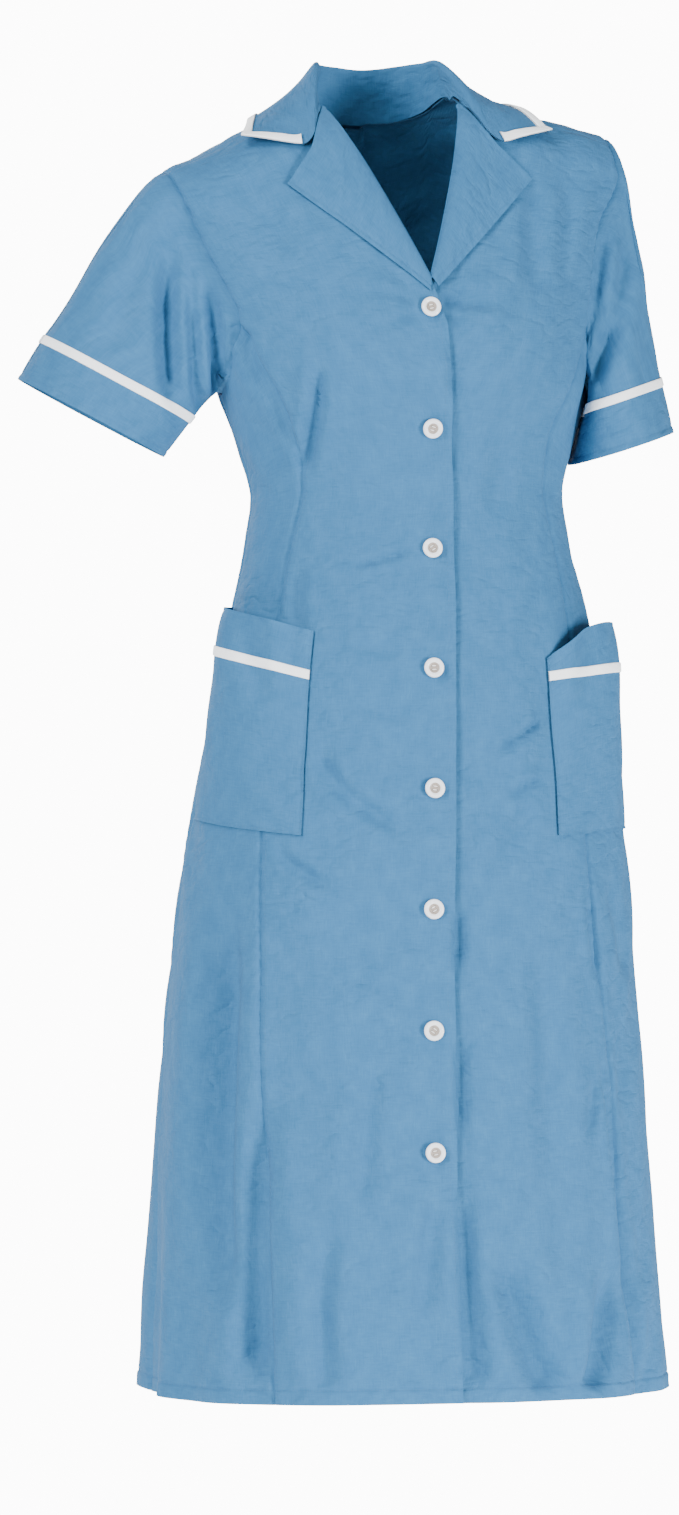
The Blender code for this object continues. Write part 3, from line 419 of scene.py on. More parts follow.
# How much is usually pushed up there, how long a crease usually takes to start and to end, as a share
# of its length, and how many widths away it still counts
USUAL_RIDGE = 0.35
USUAL_FADE = 0.3
CREASE_REACH = 4
FRONT_FOLDS = (
    # Chest and waist
    (((536, 165), (532, 230), (536, 300)), 11, -5.0),
    (((572, 180), (566, 235), (562, 290)), 8, -4.0),
    (((228, 150), (262, 205), (300, 258)), 18, -5.0),
    (((270, 150), (312, 200), (345, 232)), 12, -2.6),
    (((441, 299), (470, 300), (512, 303)), 9, -6.5, 0.4, 0.08, 0.6),
    (((449, 338), (453, 368), (453, 402)), 6, -3.4, 0.5, 0.3, 0.3),
    (((444, 312), (466, 330), (486, 352)), 5, -2.6, 0.5, 0.08, 0.6),
    (((443, 312), (478, 320), (508, 334)), 5, -2.4, 0.4, 0.08, 0.7),
    (((418, 301), (380, 292), (338, 296)), 5, -2.4, 0.4, 0.08, 0.7),
    (((420, 312), (390, 324), (348, 338)), 5, -2.8, 0.4, 0.08, 0.7),
    (((424, 296), (400, 282), (384, 262)), 6, -2.0, 0.4, 0.1, 0.7),
    (((319, 352), (316, 410), (303, 476)), 7, -7.5, 0.5, 0.35, 0.15),
    (((254, 350), (276, 400), (302, 468)), 5, -3.6),
    (((243, 325), (252, 365), (272, 402)), 6, -5.0, 0.5, 0.2, 0.3),
    (((346, 566), (384, 558), (421, 546)), 4, -2.8, 0.6, 0.25, 0.25),
    (((505, 430), (500, 480), (497, 530)), 12, -3.2),
    (((300, 560), (296, 600), (300, 640)), 7, -2.6),
    # Hips
    (((316, 740), (330, 775), (362, 805), (422, 842)), 8, -5.5, 0.45, 0.2, 0.4),
    (((273, 846), (303, 872), (352, 896)), 6, -4.2, 0.5, 0.15, 0.5),
    (((543, 720), (512, 742), (482, 760)), 5, -4.2, 0.6, 0.1, 0.5),
    (((543, 778), (522, 788), (498, 798)), 5, -3.6, 0.5, 0.1, 0.5),
    (((534, 805), (505, 850), (468, 884)), 10, -4.5, 0.4, 0.1, 0.5),
    (((352, 700), (385, 712), (418, 716)), 7, -2.2),
    (((350, 640), (380, 650), (412, 650)), 7, -2.0),
    (((344, 972), (385, 990), (412, 1012)), 7, -2.4),
    # Skirt
    (((231, 880), (222, 1000), (218, 1150), (223, 1330)), 15, -21.0, 0.25, 0.3, 0.2),
    (((262, 1080), (255, 1220), (257, 1380)), 15, -14.0, 0.3, 0.35, 0.1),
    (((459, 905), (459, 940), (459, 985)), 6, -5.0, 0.3, 0.3, 0.4),
    (((460, 1030), (461, 1090), (463, 1150)), 7, -5.5, 0.3, 0.3, 0.3),
    (((463, 1170), (468, 1270), (480, 1392)), 11, -9.0, 0.3, 0.3, 0.1),
    (((498, 1250), (528, 1325), (552, 1392)), 16, -13.0, 0.3, 0.3, 0.1),
    (((614, 1255), (605, 1325), (593, 1392)), 13, -13.0, 0.5, 0.4, 0.1),
    (((602, 1050), (611, 1130), (622, 1240), (636, 1378)), 4, -5.0, 0.6, 0.1, 0.1),
    (((600, 1062), (594, 1100), (589, 1150)), 6, -3.2, 0.5),
    (((588, 880), (592, 935), (599, 990)), 4, -3.6, 0.6),
    (((611, 875), (621, 940), (629, 990)), 6, -4.5),
    (((440, 1180), (430, 1250), (420, 1335)), 12, -5.5),
    (((380, 1050), (366, 1130), (360, 1220)), 12, -5.0),
    (((330, 1210), (322, 1300), (326, 1392)), 12, -7.0, 0.3, 0.4, 0.1),
    (((540, 930), (548, 1060), (548, 1200)), 14, -6.0),
)
BACK_FOLDS = (
    (((420, 330), (416, 450), (420, 560)), 20, -4.0),
    (((300, 560), (350, 575), (410, 572)), 9, -4.4),
    (((440, 590), (490, 575), (540, 580)), 9, -4.0),
    (((320, 610), (370, 622), (420, 618)), 9, -3.2),
    (((300, 250), (330, 330), (320, 420)), 16, -5.2),
    (((520, 250), (500, 330), (505, 420)), 16, -5.2),
    (((270, 880), (262, 1060), (258, 1300)), 18, -10.0, 0.4, 0.3, 0.1),
    (((350, 800), (352, 1000), (346, 1390)), 20, -8.0, 0.4, 0.4, 0.1),
    (((450, 840), (452, 1050), (462, 1390)), 20, -9.0, 0.4, 0.4, 0.1),
    (((540, 820), (556, 1040), (566, 1390)), 20, -10.0, 0.4, 0.4, 0.1),
    (((250, 760), (290, 790), (330, 800)), 9, -4.4),
    (((590, 740), (540, 775), (500, 784)), 9, -4.4),
)
SLEEVE_FOLDS = {
    "right": (
        (((171, 226), (168, 320), (175, 430)), 10, -16.0, 0.12, 0.4, 0.08),
        (((188, 245), (194, 330), (202, 425)), 7, -10.0, 0.1, 0.45, 0.1),
        (((205, 262), (215, 330), (225, 410)), 8, -13.0, 0.12, 0.4, 0.1),
        (((140, 250), (122, 310), (104, 360)), 12, -3.0),
    ),
    "left": (
        (((603, 225), (596, 270), (588, 310)), 8, -8.0),
        (((611, 312), (603, 350), (590, 388)), 8, -8.5),
        (((629, 235), (622, 300), (612, 372)), 8, -4.5),
    ),
}
SLEEVE_BACK_FOLDS = {
    "right": (
        (((180, 230), (174, 310), (170, 390)), 11, -8.0),
        (((150, 230), (132, 300), (112, 365)), 13, -5.0),
        (((210, 260), (214, 320), (214, 380)), 9, -5.0),
    ),
    "left": (
        (((600, 220), (598, 290), (590, 370)), 10, -7.0),
        (((630, 230), (628, 300), (622, 370)), 12, -5.0),
    ),
}
POCKET_FOLDS = {
    "right": (
        (((232, 560), (243, 620), (250, 690)), 12, -4.5),
        (((262, 600), (258, 660), (262, 710)), 12, -3.6),
        (((280, 560), (290, 620), (288, 690)), 10, -2.6),
    ),
    "left": (
        (((560, 590), (548, 650), (546, 720)), 12, -4.5),
        (((590, 590), (590, 650), (580, 715)), 12, -4.0),
        (((528, 640), (532, 690), (540, 735)), 9, -3.0),
    ),
}

rng = np.random.default_rng(20)


def smooth_step(value):
    """Goes smoothly from 0 to 1 as the value does."""
    value = np.clip(value, 0.0, 1.0)
    return value * value * (3 - 2 * value)


def lerp(start, end, share):
    """A value between two others, at a share of the way."""
    return start + (end - start) * share


def hermite(start, end, start_slope, end_slope, share):
    """A smooth curve from start to end with the given slopes there."""
    rise = 3 * share**2 - 2 * share**3
    return (lerp(start, end, rise) + start_slope * (share**3 - 2 * share**2 + share)
            + end_slope * (share**3 - share**2))


def look_up(table, column, height):
    """A column of a table read as a smooth curve of its first column."""
    heights, values = (np.array([row[i] for row in table]) for i in (0, column))
    slopes = np.gradient(values, heights)
    height = np.clip(height, heights[0], heights[-1])
    upper = np.clip(np.searchsorted(heights, height), 1, len(heights) - 1)
    lower = upper - 1
    step = heights[upper] - heights[lower]
    return hermite(values[lower], values[upper], slopes[lower] * step, slopes[upper] * step,
                   (height - heights[lower]) / step)


def section(name, height):
    """One value of the body's section at a height."""
    return look_up(SECTIONS, SECTION_COLUMNS.index(name), height)


def shoulder_height(across):
    """Height of the shoulder seam, and of its line run on over the neck."""
    across = np.asarray(across, float)
    fall = np.where(across < 0, SHOULDER_FALL_RIGHT, SHOULDER_FALL_LEFT)
    middle = (SHOULDER_FALL_RIGHT + SHOULDER_FALL_LEFT) / 2
    fall = np.where(np.abs(across) < NECK_HALF, middle, fall)
    return SHOULDER_TILT * across - fall * (np.abs(across) - NECK_HALF)


def depth_squared(across, height, side):
    """Square of the body's depth there: negative outside the body's outline. side is -1 front, 1 back."""
    depth = np.where(np.asarray(side) > 0, section("back", height), section("front", height))
    share = np.abs(across) / section("half_width", height)
    inside = 1 - share**SQUARENESS
    fullness = np.sign(inside) * np.abs(inside) ** (2 / SQUARENESS)
    below = np.minimum((shoulder_height(across) - height) / SHOULDER_ROUND, 1.0)
    rounding = below * (2 - below)
    rounding = np.where((fullness < 0) & (rounding < 0), -rounding, rounding)
    return depth * depth * fullness * rounding


def outward(across, depth, height, side):
    """The body's outward direction and how steeply its outline changes, at points on or near it."""
    def slope(start, end):
        return (end - start) / (2 * SLOPE_STEP)

    across_slope = slope(depth_squared(across - SLOPE_STEP, height, side),
                         depth_squared(across + SLOPE_STEP, height, side))
    height_slope = slope(depth_squared(across, height - SLOPE_STEP, side),
                         depth_squared(across, height + SLOPE_STEP, side))
    gradient = np.stack(np.broadcast_arrays(-across_slope, 2 * depth, -height_slope), axis=-1)
    length = np.linalg.norm(gradient, axis=-1)
    return gradient / length[..., None], length


def angle_of(across, height, side):
    """Angle round the body from the middle of the front, in degrees, positive to the wearer's left."""
    share = np.clip(across / section("half_width", height), -1.0, 1.0)
    angle = np.degrees(np.arcsin(share))
    return np.where(np.asarray(side) < 0, angle, np.copysign(180.0, angle) - angle)


def relief(across, height, side):
    """How far the flutes and the bust move the cloth out."""
    angle = angle_of(across, height, side)
    total = 0.0
    for centre, width, top, depth in FLUTES:
        away = (angle - centre + 180.0) % 360.0 - 180.0
        total = total + depth * smooth_step((top - height) / (top - SIDE_HEM)) * bump(away, 0.0, width)
    centre, level, spread, depth = BUST
    away = np.hypot(np.abs(across) - centre, height - level)
    return total + np.where(np.asarray(side) < 0, depth * bump(away, 0.0, spread), 0.0)


def bump(distance, centre, width):
    """A soft bump, 1 high at its centre."""
    return np.exp(-(((distance - centre) / width) ** 2))


def turned(directions, heights):
    """Turns directions of the level frame with the section at the given heights."""
    turn = np.radians(section("turn", heights))
    across = directions[..., 0] * np.cos(turn) - directions[..., 1] * np.sin(turn)
    depth = directions[..., 0] * np.sin(turn) + directions[..., 1] * np.cos(turn)
    return np.stack((across, depth, directions[..., 2]), axis=-1)


def to_world(points):
    """Turns and moves points with the section at their height."""
    points = turned(points, points[..., 2])
    points[..., 0] += section("centre", points[..., 2])
    return points


def on_body(across, height, side, out=0.0):
    """Points of the dress in the level frame, moved out from the cloth's outer face, and directions."""
    across, height, out = np.broadcast_arrays(np.asarray(across, float), height, out)
    depth = side * np.sqrt(np.maximum(depth_squared(across, height, side), 0.0))
    direction, _ = outward(across, depth, height, side)
    points = np.stack((across, depth, height), axis=-1)
    return points + direction * (relief(across, height, side) + out)[..., None], direction


def dressed(across, height, side, out=0.0):
    """World points of the dress and its outward directions there."""
    points, directions = on_body(across, height, side, out)
    return to_world(points), turned(directions, points[..., 2])


def hem_height(across, height, side):
    """The hem rises a little at the front; the rest of the skirt follows less and less."""
    share = np.minimum(np.abs(across) / section("half_width", height), 1.0)
    lift = (FRONT_HEM - SIDE_HEM) * (1 - share * share) * (side < 0)
    from_hem = smooth_step((height - HEM) / (HEM_FADES - HEM))
    return height + (lift + SIDE_HEM - HEM) * (1 - from_hem)


def front_row(height):
    """The height on the princess seam of the skirt row whose height at the side seam is given."""
    share = smooth_step((height - LEVEL_BELOW) / (UNDERARM - LEVEL_BELOW))
    return height + (PRINCESS_TOP - UNDERARM) * share


def column_of(hand):
    """Column of the tables that have one for the wearer's right, hand -1, and one for the left, hand 1."""
    return 1 if hand < 0 else 2


def princess(hand, height):
    """Distance of the princess seam from the middle."""
    return look_up(PRINCESS, column_of(hand), height) * section("half_width", height)


def armhole(hand, height):
    """Distance of a front's armhole edge from the middle."""
    return look_up(ARMHOLE, column_of(hand), height)


def roll_line(hand, height):
    """Distance of the roll line from the middle, towards the given hand."""
    start = hand * BREAK_POINT[0]
    low = (height - BREAK_POINT[1]) / (GORGE_ROLL[1] - BREAK_POINT[1])
    top = shoulder_height(hand * NECK_HALF)
    high = np.clip((height - GORGE_ROLL[1]) / (top - GORGE_ROLL[1]), 0.0, 1.0)
    return np.where(height <= GORGE_ROLL[1], lerp(start, GORGE_ROLL[0], low),
                    lerp(GORGE_ROLL[0], NECK_HALF, high))


def front_edge(hand, height):
    """Across of the front's inner edge: the roll line, and below the V the buttoned edge."""
    below = look_up(FRONT_EDGE, column_of(hand), height)
    return np.where(height <= BREAK_POINT[1], below, hand * roll_line(hand, height))


def underlap(hand, across, height):
    """How far the left front lies under the right one."""
    if hand < 0:
        return np.zeros(np.shape(across))
    start, fade = UNDERLAP_FADES
    beside = 1 - smooth_step((across - start) / fade)
    below = 1 - smooth_step((height - BREAK_POINT[1]) / UNDERLAP_TOP_FADE)
    return UNDERLAP * beside * below


def ticked(low, high, step, marks):
    """Values from low to high about a step apart, with extra values at the marks."""
    values = np.linspace(low, high, max(2, round((high - low) / step) + 1))
    from_mark = np.min(np.abs(values[:, None] - np.array(marks)[None, :]), axis=1)
    values = values[from_mark > step * MARK_CLEARANCE]
    return np.sort(np.concatenate((values, marks)))


def shares_across(columns):
    """Shares from 0 to 1, closer together at both ends, where the seams are."""
    middle = np.linspace(FIRST_SHARE, 1 - FIRST_SHARE, columns)
    return np.array([*EDGE_MARKS, *middle, *(1 - mark for mark in reversed(EDGE_MARKS))])


def skirt_levels():
    """Heights of the rows at the side seam, closer together at the hem's stitches."""
    return ticked(HEM, UNDERARM, ROW_STEP, HEM + np.array(HEM_MARKS))


def upper_shares():
    """Rows from the top of the princess seam to the shoulder, closer together near the shoulder."""
    return 1 - (1 - np.linspace(0.0, 1.0, UPPER_ROWS + 1)) ** UPPER_CROWDING


def placed_panel(across, height, side, out=0.0):
    """A panel's points, still in the level frame, and its directions turned to the world."""
    points, directions = on_body(across, height, side, out)
    return points, turned(directions, points[..., 2])


def front_grid(hand):
    """Points of a front: from its inner edge to the princess seam, then to the armhole."""
    shares = shares_across(FRONT_COLUMNS)[None, :]
    height = front_row(skirt_levels())[:, None]
    seam = hand * (princess(hand, height) - HALF_SEAM)
    across = lerp(front_edge(hand, height), seam, shares)
    height = hem_height(across, height, -1)
    up = upper_shares()[1:, None]
    inner_height = lerp(PRINCESS_TOP, shoulder_height(hand * NECK_HALF), up)
    outer_height = lerp(PRINCESS_TOP, shoulder_height(hand * SHOULDER_HALF), up)
    outer = hand * (armhole(hand, outer_height) - HALF_SEAM)
    upper_across = lerp(front_edge(hand, inner_height), outer, shares)
    upper_height = lerp(inner_height, outer_height, shares)
    upper_height[-1] = shoulder_height(upper_across[-1])
    across = np.concatenate((across, upper_across))
    height = np.concatenate((height, upper_height))
    points, directions = placed_panel(across, height, -1, -underlap(hand, across, height))
    points[-1, :, 1] -= HALF_SEAM
    return to_world(points), directions


def side_grid(hand):
    """Points of a side front: from the princess seam to the side seam, up to the armhole."""
    shares = shares_across(SIDE_COLUMNS)[None, :]
    level = skirt_levels()[:, None]
    height = lerp(front_row(level), level, shares)
    half = section("half_width", height)
    start = np.arcsin((princess(hand, height) + HALF_SEAM) / half)
    across = half * np.sin(lerp(start, math.pi / 2, shares))
    across[-1] = np.minimum(armhole(hand, height[-1]), half[-1])
    across[-1, 0] = princess(hand, height[-1, 0]) + HALF_SEAM
    height[-1, 0] -= 4 * HALF_SEAM
    points, directions = placed_panel(hand * across, hem_height(across, height, -1), -1)
    points[:, -1, 1] += SIDE_SEAM_LAP
    return to_world(points), directions


def back_top(across):
    """Height of the back's top edge: the shoulder seams and the back neck between them."""
    share = np.minimum(np.abs(across) / NECK_HALF, 1.0)
    dip = BACK_NECK_DIP * (1 - share * share) ** BACK_NECK_ROUND
    inner = shoulder_height(np.copysign(NECK_HALF, across)) - dip
    return np.where(np.abs(across) >= NECK_HALF, shoulder_height(across), inner)


def back_shares():
    """Columns of the back as shares of its half width, from the wearer's right to the left."""
    neck = math.asin(NECK_HALF / SHOULDER_HALF)
    outer = [lerp(-math.pi / 2, -neck, i / BACK_SHOULDER_COLUMNS) for i in range(BACK_SHOULDER_COLUMNS)]
    middle = [lerp(-neck, neck, i / BACK_NECK_COLUMNS) for i in range(BACK_NECK_COLUMNS)]
    shares = [math.sin(angle) for angle in outer + middle]
    return np.array(shares + [-share for share in reversed(shares[:BACK_SHOULDER_COLUMNS + 1])])


def back_grid():
    """Points of the whole back, from the wearer's right to the left, up to the neck and shoulders."""
    shares = back_shares()[None, :]
    level = skirt_levels()[:, None]
    across = shares * section("half_width", level)
    height = hem_height(across, level, 1)
    up = upper_shares()[1:, None]
    tip = np.copysign(SHOULDER_HALF, shares)
    edge = look_up(ARMHOLE, 3, lerp(UNDERARM, shoulder_height(tip), up))
    edge[-1] = SHOULDER_HALF
    across = np.concatenate((across, shares * edge))
    height = np.concatenate((height, lerp(UNDERARM, back_top(shares * SHOULDER_HALF), up)))
    points, directions = placed_panel(across, height, 1)
    points[:, (0, -1), 1] += HALF_SEAM
    points[-1, 1:-1, 1] += HALF_SEAM
    return to_world(points), directions


def back_half(grid, hand):
    """One back panel: from the side seam to the seam down the middle of the back."""
    points, directions = grid
    middle = points.shape[1] // 2
    part = slice(0, middle + 1) if hand < 0 else slice(middle, None)
    points, directions = points[:, part].copy(), directions[:, part]
    points[:, -1 if hand < 0 else 0, 0] -= hand * BACK_SEAM_LAP
    return points, directions


def seen(points):
    """Across and height of points as they are seen by someone facing the wearer, from the origin."""
    def plane(relative):
        scale = LOOK_DISTANCE / (LOOK_DISTANCE - relative @ TO_VIEWER)
        return relative @ TO_RIGHT * scale, relative[..., 2] * scale

    centre = np.array(LOOK_AT)
    across, height = plane(points - centre)
    zero_across, zero_height = plane(-centre)
    return across - zero_across, height - zero_height


def smooth_through(points, places):
    """A smooth curve through points, or through rows of them, read at places counted in points."""
    slopes = np.gradient(points, axis=0)
    lower = np.minimum(places.astype(int), len(points) - 2)
    share = (places - lower).reshape((-1,) + (1,) * (points.ndim - 1))
    return hermite(points[lower], points[lower + 1], slopes[lower], slopes[lower + 1], share)


def run_along(line):
    """Distance along a line of points, from its start."""
    return np.concatenate(((0.0,), np.cumsum(np.linalg.norm(np.diff(line, axis=0), axis=1))))


def read_line(line, run, spots):
    """The values of a line where its run is as given."""
    return np.stack([np.interp(spots, run, values) for values in line.T], axis=-1)


def crease(across, height, line, width, depth, ridge=USUAL_RIDGE, fade_in=USUAL_FADE, fade_out=USUAL_FADE):
    """A soft trough along a line, with a ridge on its right and a lower one on its left.

    A negative depth is inward. Points count as across and height from the origin, as they are seen.
    """
    line = smooth_through(np.array(line), np.linspace(0, len(line) - 1, CREASE_POINTS))
    spots = np.stack((across, height), axis=-1)
    reach = CREASE_REACH * width
    near = ((spots > line.min(axis=0) - reach) & (spots < line.max(axis=0) + reach)).all(axis=-1)
    spots = spots[near]
    run = run_along(line)
    best = np.full(len(spots), np.inf)
    signed, place = np.zeros(len(spots)), np.zeros(len(spots))
    for start, end, before in zip(line[:-1], line[1:], run):
        length = np.linalg.norm(end - start)
        along = (end - start) / length
        relative = spots - start
        share = np.clip(relative @ along, 0.0, length)
        distance = np.linalg.norm(relative - share[:, None] * along, axis=1)
        side = np.sign(relative[:, 0] * along[1] - relative[:, 1] * along[0])
        closer = distance < best
        best = np.where(closer, distance, best)
        signed = np.where(closer, distance * side, signed)
        place = np.where(closer, (before + share) / run[-1], place)
    fade = smooth_step(place / fade_in) * smooth_step((1 - place) / fade_out)
    away, spread, far_side = CREASE_RIDGE
    hill = ridge * (bump(signed, away * width, spread * width)
                    + far_side * bump(signed, -away * width, spread * width))
    moved = np.zeros(np.shape(across))
    moved[near] = depth * (bump(signed, 0.0, width) - hill) * fade
    return moved


def placed_crease(spots, width, depth, *rest):
    """A row of a crease table in metres from the origin, to the tenth of a millimetre."""
    line = [(round((x - PHOTO_ORIGIN[0]) * PIXEL, 4), round((PHOTO_ORIGIN[1] - y) * PIXEL, 4))
            for x, y in spots]
    return (line, round(width * PIXEL, 4), depth / 1000, *rest)


def folds(points, directions, front_table, back_table=()):
    """How far the creases of the two tables move points outward."""
    across, height = seen(points)
    towards = directions @ TO_VIEWER
    beyond, fade = CREASE_TURN
    total = np.zeros(np.shape(across))
    for table, side in ((front_table, 1), (back_table, -1)):
        weight = smooth_step((side * towards + beyond) / fade)
        for entry in table:
            total += crease(across, height, *placed_crease(*entry)) * weight
    return total


EASE = [(rng.uniform(0, 2 * math.pi), rng.uniform(*EASE_LENGTHS), rng.uniform(0, 2 * math.pi))
        for _ in range(EASE_WAVES)]


def ease(points, amount):
    """Slight unevenness of worn cloth, longer up and down than across."""
    total = np.zeros(points.shape[:-1])
    for angle, wave, phase in EASE:
        direction = np.array((math.cos(angle), math.cos(angle + EASE_SKEW), math.sin(angle))) * EASE_AXES
        total += np.sin(points @ direction * (2 * math.pi / wave) + phase)
    return total * amount / math.sqrt(len(EASE))


def running(points, axis):
    """Distance along the rows or columns of a grid, from its start."""
    steps = np.linalg.norm(np.diff(points, axis=axis), axis=-1)
    start = np.zeros_like(np.take(steps, (0,), axis=axis))
    return np.concatenate((start, np.cumsum(steps, axis=axis)), axis=axis)


def edge_distances(points):
    """Distances of a grid's points from its left, right, bottom and top edges."""
    return (running(points, 1), running(points[:, ::-1], 1)[:, ::-1],
            running(points, 0), running(points[::-1], 0)[::-1])


def uneven_wave(along, wave, swing, swings):
    """A wave whose length changes on the way."""
    return np.sin(along * 2 * math.pi / wave + swing * np.sin(along * swings))


def seam_dip(distance, along):
    """A seam's groove, the ridge of its allowance beside it, and slight puckers."""
    (groove, groove_width), (ridge, away, ridge_width), (pucker, reach, waves) = SEAM_FORM
    return (groove * bump(distance, 0.0, groove_width) + ridge * bump(distance, away, ridge_width)
            + pucker * np.exp(-distance / reach) * uneven_wave(along, *waves))


def stitched_edge(distance, along, inset):
    """A turned edge: thicker out to its stitch line, which pulls in and puckers a little."""
    (double, before, fade), (groove, width), (pucker, place, spread, waves) = EDGE_FORM
    return (double * (1 - smooth_step((distance - inset + before) / fade))
            + groove * bump(distance, inset, width)
            + pucker * bump(distance, inset * place, inset * spread) * uneven_wave(along, *waves))


def unit(vectors):
    """Vectors brought to length 1."""
    return vectors / np.linalg.norm(vectors, axis=-1, keepdims=True)


def grid_normals(points, closed=False):
    """Directions square to a grid of points; rows run up and columns run round."""
    if closed:
        along = np.roll(points, -1, axis=1) - np.roll(points, 1, axis=1)
    else:
        along = np.gradient(points, axis=1)
    return unit(np.cross(along, np.gradient(points, axis=0)))


def ring(radius, height, steps):
    """Points in a circle round +Z."""
    turns = [k / steps * 2 * math.pi for k in range(steps)]
    return [(radius * math.cos(turn), radius * math.sin(turn), height) for turn in turns]


def linked(name, data):
    """A new object of the scene."""
    made = bpy.data.objects.new(name, data)
    bpy.context.scene.collection.objects.link(made)
    return made


def carried(name, mesh):
    """A new object that rides with the dress."""
    piece = linked(name, mesh)
    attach(piece, "root")
    return piece


def mesh_piece(name, points, faces, uvs, surface, smooth_angle=CLOTH_ANGLE):
    """A smooth piece of cloth or thread, with its material and the place of each point on it."""
    mesh = bpy.data.meshes.new(name)
    mesh.from_pydata(points.tolist(), [], faces.tolist())
    mesh.materials.append(surface)
    layer = mesh.uv_layers.new(name="UVMap")
    corner = np.empty(len(mesh.loops), np.int32)
    mesh.loops.foreach_get("vertex_index", corner)
    layer.data.foreach_set("uv", uvs[corner].astype(np.float32).ravel())
    mesh.shade_smooth()
    mesh.set_sharp_from_angle(angle=math.radians(smooth_angle))
    mesh.validate()
    return carried(name, mesh)


def cloth_piece(name, outer, normals, surface=None, thickness=None, closed=False):
    """Cloth that stands for a CAD node: a thin wall behind a grid of outer points, closed at its rims."""
    thickness = SHEER if thickness is None else thickness
    rows, columns = outer.shape[:2]
    inner = outer - normals * thickness
    points = np.concatenate((outer.reshape(-1, 3), inner.reshape(-1, 3)))
    index = np.arange(rows * columns).reshape(rows, columns)
    if closed:
        index = np.concatenate((index, index[:, :1]), axis=1)
    front = np.stack((index[:-1, :-1], index[:-1, 1:], index[1:, 1:], index[1:, :-1]), axis=-1).reshape(-1, 4)
    shift = rows * columns
    rims = [index[0], index[-1][::-1]] + ([] if closed else [index[:, 0][::-1], index[:, -1]])
    walls = [np.stack((rim[:-1], rim[:-1] + shift, rim[1:] + shift, rim[1:]), axis=-1) for rim in rims]
    faces = np.concatenate([front, front[:, ::-1] + shift] + walls)
    if np.dot(np.cross(outer[0, 1] - outer[0, 0], outer[1, 0] - outer[0, 0]), normals[0, 0]) < 0:
        faces = faces[:, ::-1]
    middle = columns // 2
    width = running(outer, 1)
    across = width - width[:, middle:middle + 1]
    up = np.repeat(running(outer, 0)[:, middle:middle + 1], columns, axis=1)
    uv = np.stack((across, up), axis=-1).reshape(-1, 2)
    piece = mesh_piece(name + "_cloth", points, faces, np.concatenate((uv, uv + INNER_UV_SHIFT)),
                       surface or dress_cloth)
    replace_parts(piece, name)
    return piece


def line_on(outer, normals, distance, inset, upright):
    """A line of points and directions on a grid, at a distance from one of its edges."""
    grid = np.concatenate((outer, normals), axis=-1)
    if not upright:
        grid, distance = grid.transpose(1, 0, 2), distance.T
    return np.array([read_line(row[np.argsort(away)], np.sort(away), inset)
                     for row, away in zip(grid, distance)])


def stitches(name, lines):
    """Sewing thread: a short low bar for every stitch of the given lines."""
    points, faces = [], []
    for line in lines:
        run = run_along(line[:, :3])
        starts = np.arange(STITCH_PITCH / 2, run[-1] - STITCH, STITCH_PITCH)
        spots = [read_line(line, run, starts + shift) for shift in (0.0, STITCH / 2, STITCH)]
        for start, middle, end in zip(*spots):
            out = unit(middle[3:])
            side = np.cross(out, unit(end[:3] - start[:3])) * STITCH_HALF
            first = len(points)
            for spot, rise in ((start, -STITCH_SINK), (middle, STITCH_RISE), (end, -STITCH_SINK)):
                top = spot[:3] + out * rise
                points += [top - side - out * STITCH_DEPTH, top, top + side - out * STITCH_DEPTH]
            for low, high in ((0, 3), (1, 4), (3, 6), (4, 7)):
                faces.append([first + low, first + low + 1, first + high + 1, first + high])
    points = np.array(points)
    return mesh_piece(name, points, np.array(faces), points[:, :2], blue_thread, THREAD_ANGLE)


# Outer points and directions of each panel made so far
PANELS = {}


def make_panel(name, grid, edges=("seam", "seam", "hem", "seam")):
    """A panel with its folds, seams and hems. edges names what is at its left, right, bottom and top."""
    points, normals = grid
    distances = edge_distances(points)
    up_run, across_run = distances[2] + points[..., 0], distances[0] + points[..., 2]
    moved = folds(points, normals, FRONT_FOLDS, BACK_FOLDS) + ease(points, PANEL_EASE)
    for kind, distance, along in zip(edges, distances, (up_run, up_run, across_run, across_run)):
        if kind == "seam":
            moved += seam_dip(distance, along)
        else:
            moved += stitched_edge(distance, along, HEM_STITCH if kind == "hem" else EDGE_STITCH)
    outer = points + normals * moved[..., None]
    PANELS[name] = (outer, normals)
    return cloth_piece(name, outer, normals)


def stitch_panel(name, panel, edge, inset):
    """A row of stitches on a panel along its bottom, its left edge or its right edge."""
    outer, normals = PANELS[panel]
    distance = edge_distances(outer)[("left", "right", "bottom").index(edge)]
    stitches(name, [line_on(outer, normals, distance, inset, edge != "bottom")])


def resampled(line, count):
    """A line of points cut again into equal lengths."""
    run = run_along(line[:, :3])
    return read_line(line, run, np.linspace(0, run[-1], count))


def armhole_loop(name):
    """Points and directions round the armhole: down the front, under the arm, then up the back."""
    levels = len(skirt_levels())
    front, under, back = (np.concatenate(PANELS[f"{panel}_{name}"], axis=-1)
                          for panel in ("front", "side_front", "back"))
    front, under = front[levels - 1:, -1][::-1], under[-1]
    back = back[levels:, 0 if HANDS[name] < 0 else -1]
    first = resampled(np.concatenate((front[:-1], under)), SLEEVE_COLUMNS // 2 + 1)
    second = resampled(np.concatenate((under[-1:], back)), SLEEVE_COLUMNS // 2 + 1)
    loop = np.concatenate((first[:-1], second[:-1]))
    return loop[:, :3], unit(loop[:, 3:])


def push_out(points, clearance):
    """How far points of the level frame have to move out to be clear of the body."""
    across, depth, height = points[..., 0], points[..., 1], points[..., 2]
    side = np.where(depth < 0, -1, 1)
    direction, slope = outward(across, depth, height, side)
    distance = (depth * depth - depth_squared(across, height, side)) / slope
    return direction * np.maximum(0.0, clearance - distance)[..., None]


